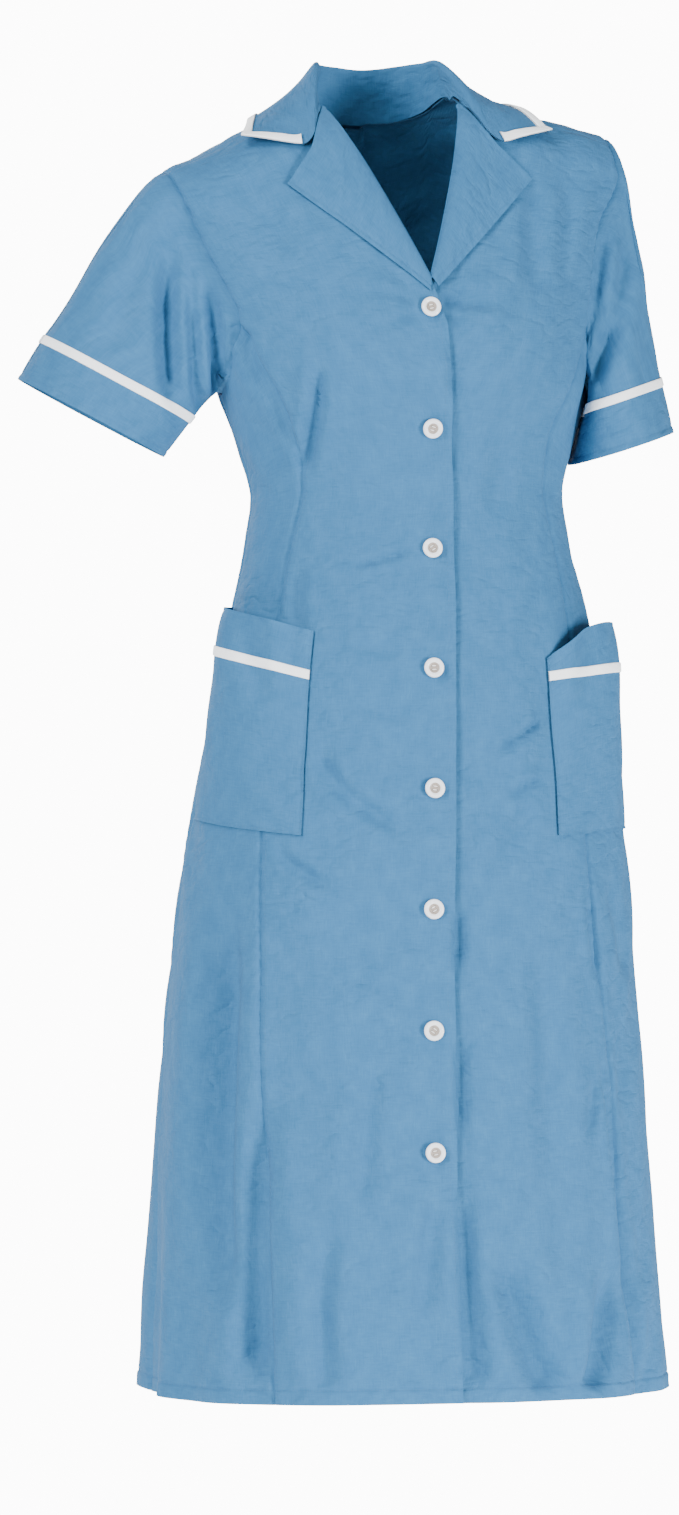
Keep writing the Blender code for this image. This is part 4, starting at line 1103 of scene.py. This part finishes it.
def clear_of_body(points, clearance):
    """Moves points below the underarm out until they are clear of the body."""
    above, fade = UNDERARM_CLEARING
    under = smooth_step((UNDERARM + above - points[..., 2]) / fade)
    turn = np.radians(section("turn", points[..., 2]))
    for _ in range(BODY_MOVES):
        from_middle = points[..., 0] - section("centre", points[..., 2])
        across = from_middle * np.cos(turn) + points[..., 1] * np.sin(turn)
        depth = points[..., 1] * np.cos(turn) - from_middle * np.sin(turn)
        level = np.stack((across, depth, points[..., 2]), axis=-1)
        points = points + turned(push_out(level, clearance) * under[..., None], points[..., 2])
    return points


def clear_of_shoulder(points, clearance):
    """Moves points of the level frame out until they clear the fronts, the back and the shoulder."""
    for _ in range(SHOULDER_MOVES):
        points = points + push_out(points, clearance)
    return points


def sleeve_curves(name):
    """Lines from each armhole point to the sleeve's hem."""
    centre, outer_half, front_half = (np.array(vector) for vector in SLEEVES[name])
    loop, normals = armhole_loop(name)
    angle = (np.arange(len(loop)) / len(loop) * 2 * math.pi)[:, None]
    hem = centre + np.cos(angle) * outer_half + np.sin(angle) * front_half
    axis = unit(np.cross(outer_half, front_half))
    axis = -axis if axis[2] < 0 else axis
    along = unit(np.roll(loop, -1, axis=0) - np.roll(loop, 1, axis=0))
    away = unit(np.cross(along, normals)) * -HANDS[name]
    seam = loop + away * 2 * HALF_SEAM
    start = seam + away * SLEEVE_START
    reach = SEAM_REACH + CAP_REACH * np.maximum(0.0, -(away @ axis))
    first = start + away * reach[:, None]
    homeward = unit(axis + unit(start - hem))
    reach = np.minimum(HEM_REACH_SHARE * np.linalg.norm(hem - start, axis=1), HEM_REACH_MOST)
    second = hem + homeward * reach[:, None]
    t = np.linspace(0, 1, SLEEVE_POINTS)[None, :, None]
    points = (start[:, None] * (1 - t) ** 3 + first[:, None] * 3 * t * (1 - t) ** 2
              + second[:, None] * 3 * t * t * (1 - t) + hem[:, None] * t**3)
    points = clear_of_body(points, SLEEVE_CLEAR * smooth_step(t[..., 0] / SLEEVE_CLEAR_FADE))
    return np.concatenate((seam[:, None], points), axis=1)


def along_curves(curves, distances):
    """Rings of points on the curves; each row of distances from the hem makes a ring."""
    rings = []
    for column, line in enumerate(curves):
        run = run_along(line)
        rings.append(read_line(line, run, run[-1] - distances[:, column]))
    return np.stack(rings, axis=1)


def make_sleeve(name):
    """A sleeve, its cuff and the trim between them."""
    curves = sleeve_curves(name)
    lengths = np.linalg.norm(np.diff(curves, axis=1), axis=2).sum(axis=1)
    middle = curves[:, -1].mean(axis=0)
    cuff_depth = CUFF_DEPTHS[name]

    def shaped(distances, extra):
        """Rings at distances from the hem, with their creases and what extra adds."""
        points = along_curves(curves, distances)
        normals = grid_normals(points, True)
        if np.dot(normals[-1][0], points[-1][0] - middle) < 0:
            normals = -normals
        from_seam = lengths - distances
        weight = (smooth_step(from_seam / SLEEVE_FOLD_FADE)
                  * smooth_step((distances - CUFF_FOLD_START) / CUFF_FOLD_FADE))
        moved = folds(points, normals, SLEEVE_FOLDS[name], SLEEVE_BACK_FOLDS[name]) * weight
        moved += ease(points, SLEEVE_EASE) * smooth_step(from_seam / SLEEVE_EASE_FADE)
        moved += extra(distances, from_seam, running(points, 1))
        return points + normals * moved[..., None], normals

    def rings(distances):
        return np.repeat(distances[:, None], len(curves), axis=1)

    def seams(from_hem, from_seam, along):
        at_armhole = seam_dip(from_seam, along) * smooth_step(from_seam / SLEEVE_DIP_FADE)
        return at_armhole + seam_dip(from_hem - cuff_depth, along)

    def cuff_edge(from_hem, from_seam, along):
        return CUFF_EXTRA + stitched_edge(from_hem, along, CUFF_STITCH) * CUFF_EDGE

    def trim_rise(from_hem, from_seam, along):
        return CUFF_TRIM_LIFT + np.array(CUFF_TRIM_RISE)[:, None]

    shares = ticked(0.0, 1.0, 1.0 / SLEEVE_ROWS, SLEEVE_MARKS)
    outer, normals = shaped(lerp(lengths, cuff_depth + HALF_SEAM, shares[:, None]), seams)
    outer[0] = curves[:, 0]
    sleeve = cloth_piece(f"sleeve_{name}", outer, normals, closed=True)
    cuff_rows = rings(ticked(0.0, cuff_depth - 3 * HALF_SEAM, CUFF_STEP, CUFF_MARKS)[::-1])
    outer, normals = shaped(cuff_rows, cuff_edge)
    cuff = cloth_piece(f"cuff_{name}", outer, normals, thickness=SHEER + CUFF_EXTRA, closed=True)
    stitches(f"cuff_{name}_stitches", [line_on(outer, normals, cuff_rows, CUFF_STITCH, False)])
    strip = cuff_depth + TRIM_WIDTH / 2 - TRIM_WIDTH * np.array(TRIM_STEPS)
    outer, normals = shaped(rings(strip), trim_rise)
    trim = cloth_piece(f"cuff_trim_{name}", outer, normals, white_trim, CUFF_TRIM_THICK, closed=True)
    return sleeve, cuff, trim


def polyline(points, shares):
    """Points at shares of the length of a line through some points."""
    points = np.array(points, float)
    run = run_along(points)
    return read_line(points, run / run[-1], shares)


def collar_half():
    """Columns from the middle of the back to the front end; each runs from neck seam to outer edge."""
    stations = []
    for neck, fold, edge in COLLAR_STATIONS:
        seam = on_body(neck, back_top(neck), 1)[0]
        seam[2] += COLLAR_SEAT
        fold, edge = np.array(fold), np.array(edge)
        column = [lerp(seam, fold, share) for share in COLLAR_STAND]
        for share in COLLAR_FALL:
            sag = COLLAR_SAG * math.sin(math.pi * share)
            column.append(lerp(fold, edge, share) - (0.0, 0.0, sag))
        stations.append(np.array(column))
    shares = np.linspace(0.0, 1.0, COLLAR_ROWS + 1)
    ends = polyline((GORGE_ROLL, NOTCH, COLLAR_TIP), shares)
    end = on_body(ends[:, 0], ends[:, 1], -1, COLLAR_CLEAR)[0]
    swell = np.sin(math.pi * shares)[:, None] * COLLAR_ROLL * np.array(COLLAR_ROLL_WAY)
    stations += [lerp(stations[-1], end, COLLAR_ROLL_SHARE) + swell, end]
    places = np.linspace(0.0, len(stations) - 1, COLLAR_HALF_COLUMNS + 1)
    return np.stack([curve_through(stations, place) for place in places])


def curve_through(points, place):
    """A smooth curve through points, read at a place counted in points; it is level at its start."""
    index = min(int(place), len(points) - 2)
    start, end = points[index], points[index + 1]
    before = points[index - 1] if index else points[1] * np.array((-1.0, 1.0, 1.0))
    after = points[index + 2] if index + 2 < len(points) else 2 * end - start
    return hermite(start, end, (end - before) / 2, (after - start) / 2, place - index)


def tilted(height, across, hand):
    """A height of the half at +x, tilted with the shoulders on the given hand."""
    return height + SHOULDER_TILT * hand * across


def collar_surface():
    """Under face of the collar as a fine grid: rows from neck seam to outer edge, columns right to left."""
    halves = []
    for hand in (-1, 1):
        half = collar_half()
        half[..., 2] = tilted(half[..., 2], half[..., 0], hand)
        half[..., 0] *= hand
        halves.append(half)
    coarse = np.concatenate((halves[0][:0:-1], halves[1])).transpose(1, 0, 2)
    rows = ticked(0.0, COLLAR_ROWS, *COLLAR_FINE_ROWS)
    places = ticked(0.0, 2 * COLLAR_HALF_COLUMNS, *COLLAR_FINE_COLUMNS)
    fine = smooth_through(smooth_through(coarse, rows).transpose(1, 0, 2), places).transpose(1, 0, 2)
    fine[..., 2] -= COLLAR_TUCK * (1 - smooth_step(rows / COLLAR_TUCK_ROWS))[:, None]
    (first_row, row_fade), (first_column, column_fade) = COLLAR_CLEAR_ROWS, COLLAR_CLEAR_COLUMNS
    from_middle = np.abs(places - COLLAR_HALF_COLUMNS)
    weight = np.maximum(smooth_step((rows - first_row) / row_fade)[:, None],
                        smooth_step((from_middle - first_column) / column_fade)[None, :])
    return rows, places, lerp(fine, clear_of_shoulder(fine, COLLAR_CLEAR), weight[..., None])


def make_collar():
    """The collar and its trim."""
    rows, places, under = collar_surface()
    world = to_world(under)
    normals = -grid_normals(world)
    if normals[-4, len(places) // 2, 1] < 0:
        normals = -normals
    start, end, _, edge = edge_distances(world)

    def doubled(distance):
        return COLLAR_EDGE_RISE * (1 - smooth_step((distance - COLLAR_EDGE) / COLLAR_EDGE))

    moved = SHEER + COLLAR_LIFT + ease(world, COLLAR_EASE) + doubled(edge)
    moved += doubled(np.minimum(start, end)) * (rows[:, None] > COLLAR_NOTCH_ROW)
    collar = cloth_piece("collar", world + normals * moved[..., None], normals, thickness=COLLAR_THICK)
    return collar, make_collar_trim(rows, places, under)


def make_collar_trim(rows, places, under):
    """The band along the collar's outer edge, mitred at the tips and run on to the notches."""
    def at(spots):
        """Points of the collar at spots given as a row and a place."""
        spots = np.array(spots)
        i = np.clip(np.searchsorted(rows, spots[:, 0]) - 1, 0, len(rows) - 2)
        j = np.clip(np.searchsorted(places, spots[:, 1]) - 1, 0, len(places) - 2)
        down = ((spots[:, 0] - rows[i]) / (rows[i + 1] - rows[i]))[:, None]
        side = ((spots[:, 1] - places[j]) / (places[j + 1] - places[j]))[:, None]
        return lerp(lerp(under[i, j], under[i, j + 1], side),
                    lerp(under[i + 1, j], under[i + 1, j + 1], side), down)

    def reach(row, place, inward):
        """The trim's width there, in rows and in places."""
        here, down, along = at([(row, place), (row - 0.5, place), (row, place + 0.5 * inward)])
        down, along = down - here, along - here
        width = TRIM_WIDTH / np.linalg.norm(np.cross(unit(down), unit(along)))
        return width / np.linalg.norm(down) / 2, width / np.linalg.norm(along) / 2

    last_row, last = rows[-1], places[-1]
    legs = {}
    for place, inward in ((0.0, 1), (last, -1)):
        corner = reach(last_row, place, inward)
        wanted = np.linspace(COLLAR_NOTCH_ROW, last_row - corner[0], COLLAR_TRIM_END_ROWS)[:-1]
        edge = [(row, place) for row in wanted] + [(last_row, place)]
        inset = [(row, place + inward * reach(row, place, inward)[1]) for row in wanted]
        inset.append((last_row - corner[0], place + inward * corner[1]))
        legs[inward] = (edge, inset, corner[1])
    wanted = np.linspace(legs[1][2], last - legs[-1][2], COLLAR_TRIM_COLUMNS)[1:-1]
    depths = [reach(last_row, place, 1 if place < last / 2 else -1)[0] for place in wanted]
    edge = legs[1][0] + [(last_row, place) for place in wanted] + legs[-1][0][::-1]
    inset = (legs[1][1] + [(last_row - depth, place) for depth, place in zip(depths, wanted)]
             + legs[-1][1][::-1])
    strip = lerp(at(edge)[None], at(inset)[None], np.array(COLLAR_TRIM_STEPS)[:, None, None])
    side = np.where(strip[..., 1] < 0, -1, 1)
    direction, _ = outward(strip[..., 0], strip[..., 1], strip[..., 2], side)
    normals = turned(direction, strip[..., 2])
    rise = COLLAR_TRIM_LIFT + np.array(COLLAR_TRIM_RISE)[:, None]
    outer = to_world(strip) + normals * rise[..., None]
    return cloth_piece("collar_trim", outer, normals, white_trim, COLLAR_TRIM_THICK)


def make_lapel(name):
    """The turned-back top of a front, rolled over at the front's edge."""
    hand = HANDS[name]
    notch = (NOTCH[0] + LAPEL_NOTCH_GAP * LAPEL_NOTCH_SLANT, NOTCH[1] - LAPEL_NOTCH_GAP)
    top = np.array(((GORGE_ROLL[0], GORGE_ROLL[1] - GORGE_GAP), notch, LAPEL_TIP))
    up = ticked(0.0, 1.0, *LAPEL_UP)
    across = ticked(0.0, 1.0, *LAPEL_ACROSS)
    roll = polyline((LAPEL_ROLL_START, top[0]), up)
    roll[:, 0] = hand * front_edge(hand, tilted(roll[:, 1], roll[:, 0], hand))
    outer = polyline((LAPEL_ENDS[name], LAPEL_TIP), up)
    bend = polyline(top, across) - lerp(top[0], top[-1], across[:, None])
    place = lerp(roll[:, None], outer[:, None], across[None, :, None]) + bend[None] * (up**3)[:, None, None]
    up, across = up[:, None], across[None, :]
    crowding, at_ends = LAPEL_SOFTNESS
    soft = LAPEL_LIFT * np.sin(math.pi * across**crowding) * lerp(at_ends, 1.0, np.sin(math.pi * up))
    lift = LAY_ON + LAPEL_TOP_LIFT * smooth_step(up) + soft
    height = tilted(place[..., 1], place[..., 0], hand)
    turns = np.linspace(-math.pi / 2, math.pi / 2, LAPEL_ROLL_POINTS + 1)[None, :-1]
    half = (lift[:, :1] + SHEER) / 2
    place_across = np.concatenate((place[:, :1, 0] - half * np.cos(turns), place[..., 0]), axis=1)
    height = np.concatenate((np.repeat(height[:, :1], LAPEL_ROLL_POINTS, axis=1), height), axis=1)
    lift = np.concatenate((half * (1 + np.sin(turns)) - SHEER, lift), axis=1)
    points = to_world(on_body(hand * place_across, height, -1, lift)[0])
    normals = grid_normals(points)
    if normals[len(normals) // 2, -5, 1] > 0:
        normals = -normals
    from_roll, outer_run, bottom_run, top_run = edge_distances(points)
    moved = SHEER + stitched_edge(np.minimum(outer_run, top_run), bottom_run, LAPEL_STITCH) * LAPEL_EDGE
    moved += ease(points, COLLAR_EASE) * smooth_step(from_roll / LAPEL_EASE_FADE)
    moved += folds(points, normals, FRONT_FOLDS)
    outer = points + normals * moved[..., None]
    lapel = cloth_piece(f"lapel_{name}", outer, normals)
    stitches(f"lapel_{name}_stitches", [line_on(outer, normals, outer_run, LAPEL_STITCH, True)])
    return lapel


def pocket_points(hand, share, height):
    """Points and directions of a pocket's under face."""
    inner = np.radians(look_up(POCKET_INNER, 1, height))
    across = section("half_width", height) * np.sin(lerp(inner, math.radians(POCKET_OUTER), share))
    bottom, mouth = (look_up(table, column_of(hand), POCKET_SWELL_SHARE)
                     for table in (POCKET_BOTTOM, POCKET_MOUTH))
    up = np.clip((height - bottom) / (mouth - bottom), 0.0, 1.0)
    lean, fullness, rising = POCKET_SWELL_FORM
    swell = (POCKET_SWELL * np.sin(math.pi * share**lean) ** fullness
             * np.sin(up * math.pi / 2) ** rising)
    return dressed(hand * across, height, -1, LAY_ON + swell)


def make_pocket(name):
    """A patch pocket with its stitches, and the trim across it."""
    column = column_of(HANDS[name])
    across = ticked(0.0, 1.0, *POCKET_ACROSS)[None, :]
    up = ticked(0.0, 1.0, *POCKET_UP)[:, None]

    def laid(height, ease_size):
        """Points of the pocket, their directions, their creases and their edge distances."""
        shares = np.broadcast_to(across, height.shape)
        points, normals = pocket_points(HANDS[name], shares, height)
        distances = edge_distances(points)
        inside = smooth_step(np.minimum(*distances[:2]) / POCKET_FOLD_FADE)
        moved = folds(points, normals, FRONT_FOLDS) + ease(points, ease_size)
        return points, normals, moved, folds(points, normals, POCKET_FOLDS[name]) * inside, distances

    height = lerp(look_up(POCKET_BOTTOM, column, across), look_up(POCKET_MOUTH, column, across), up)
    points, normals, moved, creases, (left, right, bottom, top) = laid(height, POCKET_EASE)
    moved += SHEER + creases * smooth_step(bottom / POCKET_FOLD_FADE)
    for distance, along in ((np.minimum(left, right), bottom), (bottom, left)):
        moved += stitched_edge(distance, along, POCKET_STITCH) * POCKET_EDGE
    moved += stitched_edge(top, left, POCKET_MOUTH_STITCH) * POCKET_MOUTH_EDGE
    outer = points + normals * moved[..., None]
    pocket = cloth_piece(f"pocket_{name}", outer, normals)
    stitches(f"pocket_{name}_stitches",
             [line_on(outer, normals, distance, POCKET_STITCH, upright)
              for distance, upright in ((left, True), (right, True), (bottom, False))])
    steps = np.array(TRIM_STEPS)[:, None]
    height = look_up(POCKET_TRIM, column, across) - TRIM_WIDTH * (1 - steps)
    points, normals, moved, creases, _ = laid(height, POCKET_TRIM_EASE)
    moved += POCKET_TRIM_LIFT + np.array(POCKET_TRIM_RISE)[:, None] + creases
    outer = points + normals * moved[..., None]
    return pocket, cloth_piece(f"pocket_trim_{name}", outer, normals, white_trim, POCKET_TRIM_THICK)


def button_matrix(index):
    """Puts a button, made round +Z, at its place on the right front."""
    height = FIRST_BUTTON - BUTTON_SPACING * index
    spots, directions = dressed(np.zeros(2), height + np.array((0.0, BUTTON_AIM)), -1)
    out = directions[0]
    moved = folds(spots[:1], directions[:1], FRONT_FOLDS)[0] + BUTTON_SEAT
    side = unit(np.cross(spots[1] - spots[0], out))
    up = np.cross(out, side)
    matrix = Matrix.Identity(4)
    for i, values in enumerate(zip(side, up, out, spots[0] + out * moved)):
        matrix[i] = values
    return matrix @ Matrix.Rotation(math.radians(BUTTON_TURNS[index]), 4, "Z")


def button_piece(name, bm, matrix, *surfaces):
    """A piece of a button from its shape, which is made round +Z."""
    mesh = bpy.data.meshes.new(name)
    bm.to_mesh(mesh)
    bm.free()
    for surface in surfaces:
        mesh.materials.append(surface)
    mesh.transform(matrix)
    return carried(name, mesh)


def make_button(index):
    """A turned button with a rim and a dish, four flat dark discs of painted shade for its holes, and its
    thread.
    """
    name = f"button_{index + 1}"
    matrix = button_matrix(index)
    bm = bmesh.new()
    rings = []
    for radius, rise in BUTTON_FORM:
        rings.append([bm.verts.new(spot) for spot in ring(radius, rise, BUTTON_STEPS if radius else 1)])
    for low, high in zip(rings[:-1], rings[1:]):
        for k in range(BUTTON_STEPS):
            n = (k + 1) % BUTTON_STEPS
            if len(low) == 1:
                bm.faces.new((low[0], high[n], high[k]))
            elif len(high) == 1:
                bm.faces.new((low[k], low[n], high[0]))
            else:
                bm.faces.new((low[k], low[n], high[n], high[k]))
    for face in bm.faces:
        middle = face.calc_center_median()
        face.material_index = int(middle.z > DISH_RISE and math.hypot(middle.x, middle.y) < DISH_RADIUS)
        face.smooth = True
    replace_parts(button_piece(f"{name}_form", bm, matrix, button_white, button_dish), name)
    # The holes are not cut: four flat dark discs lie on the dish, and their colour is painted shade for the
    # holes
    bm = bmesh.new()
    for x, y in ((1, 1), (-1, 1), (-1, -1), (1, -1)):
        place = Matrix.Translation((x * HOLE_OFFSET, y * HOLE_OFFSET, HOLE_RISE))
        bmesh.ops.create_circle(bm, cap_ends=True, segments=HOLE_STEPS, radius=HOLE_RADIUS, matrix=place)
    button_piece(f"{name}_holes", bm, matrix, painted_hole_shade)
    bm = bmesh.new()
    for y in (HOLE_OFFSET, -HOLE_OFFSET):
        for shift in (-THREAD_OFFSET, THREAD_OFFSET):
            place = Matrix.Translation((0.0, y + shift, THREAD_RISE)) @ Matrix.Rotation(math.pi / 2, 4, "Y")
            bmesh.ops.create_cone(bm, cap_ends=True, segments=THREAD_STEPS, radius1=THREAD_RADIUS,
                                  radius2=THREAD_RADIUS, depth=THREAD_LENGTH, matrix=place)
    button_piece(f"{name}_thread", bm, matrix, white_thread)


def node_material(name, roughness):
    """A new material, its nodes and its shader."""
    made = bpy.data.materials.new(name)
    made.use_nodes = True
    shader = made.node_tree.nodes["Principled BSDF"]
    shader.inputs["Roughness"].default_value = roughness
    return made, made.node_tree, shader


def new_node(tree, kind, **values):
    """A node of the given kind; values go to its inputs, whose names have _ for a blank."""
    node = tree.nodes.new("ShaderNode" + kind)
    for name, value in values.items():
        node.inputs[name.replace("_", " ")].default_value = value
    return node


def colour_ramp(tree, level, stops):
    """Colours between stops of a level, each a position and a colour."""
    ramp = new_node(tree, "ValToRGB")
    elements = ramp.color_ramp.elements
    for element, (position, colour) in zip((elements[0], elements[1]), (stops[0], stops[-1])):
        element.position = position
        element.color = (*colour, 1.0)
    for position, colour in stops[1:-1]:
        elements.new(position).color = (*colour, 1.0)
    tree.links.new(level, ramp.inputs["Fac"])
    return ramp.outputs["Color"]


def cloth_material(name, colours, slub, weave_bump, rumpled, sheen):
    """Plain woven cloth: slightly uneven threads both ways, a fine weave, crinkles and a soft sheen."""
    made, tree, shader = node_material(name, CLOTH_ROUGHNESS)
    links = tree.links
    coordinates = new_node(tree, "TexCoord")

    def noise(scale, detail, stretch):
        mapping = new_node(tree, "Mapping", Scale=stretch)
        texture = new_node(tree, "TexNoise", Scale=scale, Detail=detail)
        links.new(coordinates.outputs["UV"], mapping.inputs["Vector"])
        links.new(mapping.outputs["Vector"], texture.inputs["Vector"])
        return texture.outputs["Fac"]

    def math_node(operation, *values):
        node = new_node(tree, "Math")
        node.operation = operation
        for socket, value in zip(node.inputs, values):
            if isinstance(value, (int, float)):
                socket.default_value = value
            else:
                links.new(value, socket)
        return node.outputs[0]

    def bump_node(height, strength, distance):
        node = new_node(tree, "Bump", Strength=strength, Distance=distance)
        links.new(height, node.inputs["Height"])
        return node

    threads = math_node("ADD", noise(*WARP), noise(*WEFT))
    patches = math_node("MULTIPLY", noise(*PATCHES), 1 - 2 * slub)
    level = math_node("ADD", math_node("MULTIPLY", threads, slub), patches)
    links.new(colour_ramp(tree, level, list(zip(COLOUR_STOPS, colours))), shader.inputs["Base Color"])
    hollows = math_node("ABSOLUTE", math_node("SUBTRACT", noise(*HOLLOWS), 0.5))
    crinkles = math_node("MINIMUM", math_node("MULTIPLY", hollows, CRINKLE_STEEPNESS), 1.0)
    crinkled = math_node("SUBTRACT", noise(*CRINKLED), CRINKLE_START)
    soft = math_node("MULTIPLY", noise(*SOFT), SOFT_SHARE)
    height = math_node("ADD", soft, math_node("MULTIPLY", crinkles, crinkled))
    rumple = bump_node(height, 1.0, rumpled)
    weave = bump_node(threads, weave_bump, WEAVE_HEIGHT)
    links.new(rumple.outputs["Normal"], weave.inputs["Normal"])
    links.new(weave.outputs["Normal"], shader.inputs["Normal"])
    shader.inputs["Sheen Weight"].default_value = sheen
    shader.inputs["Sheen Roughness"].default_value = SHEEN_ROUGHNESS
    shader.inputs["Specular IOR Level"].default_value = CLOTH_SHINE
    return made


def plain_material(name, colour, roughness, coat=0.0):
    """A plain surface whose colour varies slightly."""
    made, tree, shader = node_material(name, roughness)
    coordinates = new_node(tree, "TexCoord")
    texture = new_node(tree, "TexNoise", Scale=SPECK_SCALE)
    tree.links.new(coordinates.outputs["Object"], texture.inputs["Vector"])
    darker = tuple(SPECK_DARKER * value for value in colour)
    speckled = colour_ramp(tree, texture.outputs["Fac"], ((0.0, darker), (1.0, colour)))
    tree.links.new(speckled, shader.inputs["Base Color"])
    shader.inputs["Coat Weight"].default_value = coat
    return made


def make_world():
    """White air that lights the dress less than it shows itself to the camera."""
    world = bpy.data.worlds.new("studio")
    world.use_nodes = True
    air = world.node_tree
    lighting = air.nodes["Background"]
    shown = new_node(air, "Background")
    for background, strength in ((lighting, WORLD_LIGHT), (shown, WORLD_SHOWN)):
        background.inputs["Color"].default_value = (1.0, 1.0, 1.0, 1.0)
        background.inputs["Strength"].default_value = strength
    ray = new_node(air, "LightPath")
    both = new_node(air, "MixShader")
    sources = (ray.outputs["Is Camera Ray"], lighting.outputs[0], shown.outputs[0])
    for source, socket in zip(sources, both.inputs):
        air.links.new(source, socket)
    air.links.new(both.outputs[0], air.nodes["World Output"].inputs["Surface"])
    bpy.context.scene.world = world


def make_floor():
    """A plain pale disc that glows a little."""
    mesh = bpy.data.meshes.new("floor")
    mesh.from_pydata(ring(FLOOR_RADIUS, FLOOR, FLOOR_STEPS), [], [tuple(range(FLOOR_STEPS))])
    surface, _, shader = node_material("pale_floor", 0.9)
    shader.inputs["Base Color"].default_value = (0.92, 0.92, 0.92, 1.0)
    shader.inputs["Emission Color"].default_value = (1.0, 1.0, 1.0, 1.0)
    shader.inputs["Emission Strength"].default_value = FLOOR_GLOW
    mesh.materials.append(surface)
    floor = linked("floor", mesh)


def light(name, place, towards, size, watts, colour):
    """A rectangular lamp at a place, turned towards another."""
    data = bpy.data.lights.new(name, "AREA")
    data.shape = "RECTANGLE"
    data.size, data.size_y = size
    data.energy = watts
    data.color = colour
    lamp = linked(name, data)
    lamp.location = place
    lamp.rotation_euler = (Vector(towards) - Vector(place)).to_track_quat("-Z", "Y").to_euler()


def make_camera():
    """A level camera that frames the dress as the photo does."""
    data = bpy.data.cameras.new("camera")
    data.sensor_fit = "VERTICAL"
    data.sensor_height = SENSOR
    data.lens = SENSOR * LOOK_DISTANCE / VIEW_HEIGHT
    camera = linked("camera", data)
    camera.location = np.array(LOOK_AT) + LOOK_DISTANCE * TO_VIEWER
    camera.rotation_euler = (math.pi / 2, 0.0, math.radians(FACING))
    bpy.context.scene.camera = camera


DRESS_BLUES = ((0.022, 0.113, 0.248), (0.029, 0.131, 0.278), (0.037, 0.151, 0.308))
TRIM_WHITES = ((0.90, 0.93, 0.97), (0.93, 0.96, 0.99), (0.95, 0.98, 1.0))
dress_cloth = cloth_material("dress_weave", DRESS_BLUES, 0.30, 0.6, 0.0015, 0.02)
white_trim = cloth_material("trim_weave", TRIM_WHITES, 0.25, 0.2, 0.0006, 0.1)
button_white = plain_material("button_resin", (0.87, 0.91, 0.96), 0.28, 0.3)
button_dish = plain_material("button_dish", (0.34, 0.29, 0.25), 0.45, 0.1)
# Painted shade: the dark colour of the discs that stand for the button holes
painted_hole_shade = plain_material("button_hole_shade", (0.10, 0.085, 0.075), 0.8)
white_thread = plain_material("white_thread", (0.86, 0.84, 0.82), 0.7)
blue_thread = plain_material("blue_thread", (0.034, 0.125, 0.262), 0.75)

right_front = make_panel("front_right", front_grid(-1), ("fold", "seam", "hem", "seam"))
left_front = make_panel("front_left", front_grid(1), ("fold", "seam", "hem", "seam"))
right_side = make_panel("side_front_right", side_grid(-1))
left_side = make_panel("side_front_left", side_grid(1))
whole_back = back_grid()
right_back = make_panel("back_right", back_half(whole_back, -1))
left_back = make_panel("back_left", back_half(whole_back, 1))
for panel in PANELS:
    stitch_panel(f"{panel}_hem_stitches", panel, "bottom", HEM_STITCH)
stitch_panel("placket_stitches", "front_right", "left", EDGE_STITCH)
for name in HANDS:
    stitch_panel(f"front_{name}_seam_stitches", f"front_{name}", "right", SEAM_STITCH)

sleeves = [make_sleeve(name) for name in HANDS]
collar_piece, collar_trim_piece = make_collar()
lapels = [make_lapel(name) for name in HANDS]
pockets = [make_pocket(name) for name in HANDS]
for number in range(BUTTONS):
    make_button(number)

light("key", (2.6, -2.8, -0.9), (0.0, 0.0, -0.75), (0.8, 1.6), 240.0, (0.99, 0.995, 1.0))
light("fill", (-2.5, -2.1, 0.3), (-0.1, 0.0, -0.2), (1.0, 1.4), 132.0, (0.98, 0.99, 1.0))
light("top", (-1.5, -1.3, 1.9), (0.0, 0.0, -0.2), (1.2, 1.2), 58.0, (1.0, 1.0, 1.0))
light("behind", (-0.8, 3.0, 0.8), (0.0, 0.0, -0.5), (2.0, 2.0), 110.0, (1.0, 1.0, 1.0))
make_world()
make_floor()
make_camera()
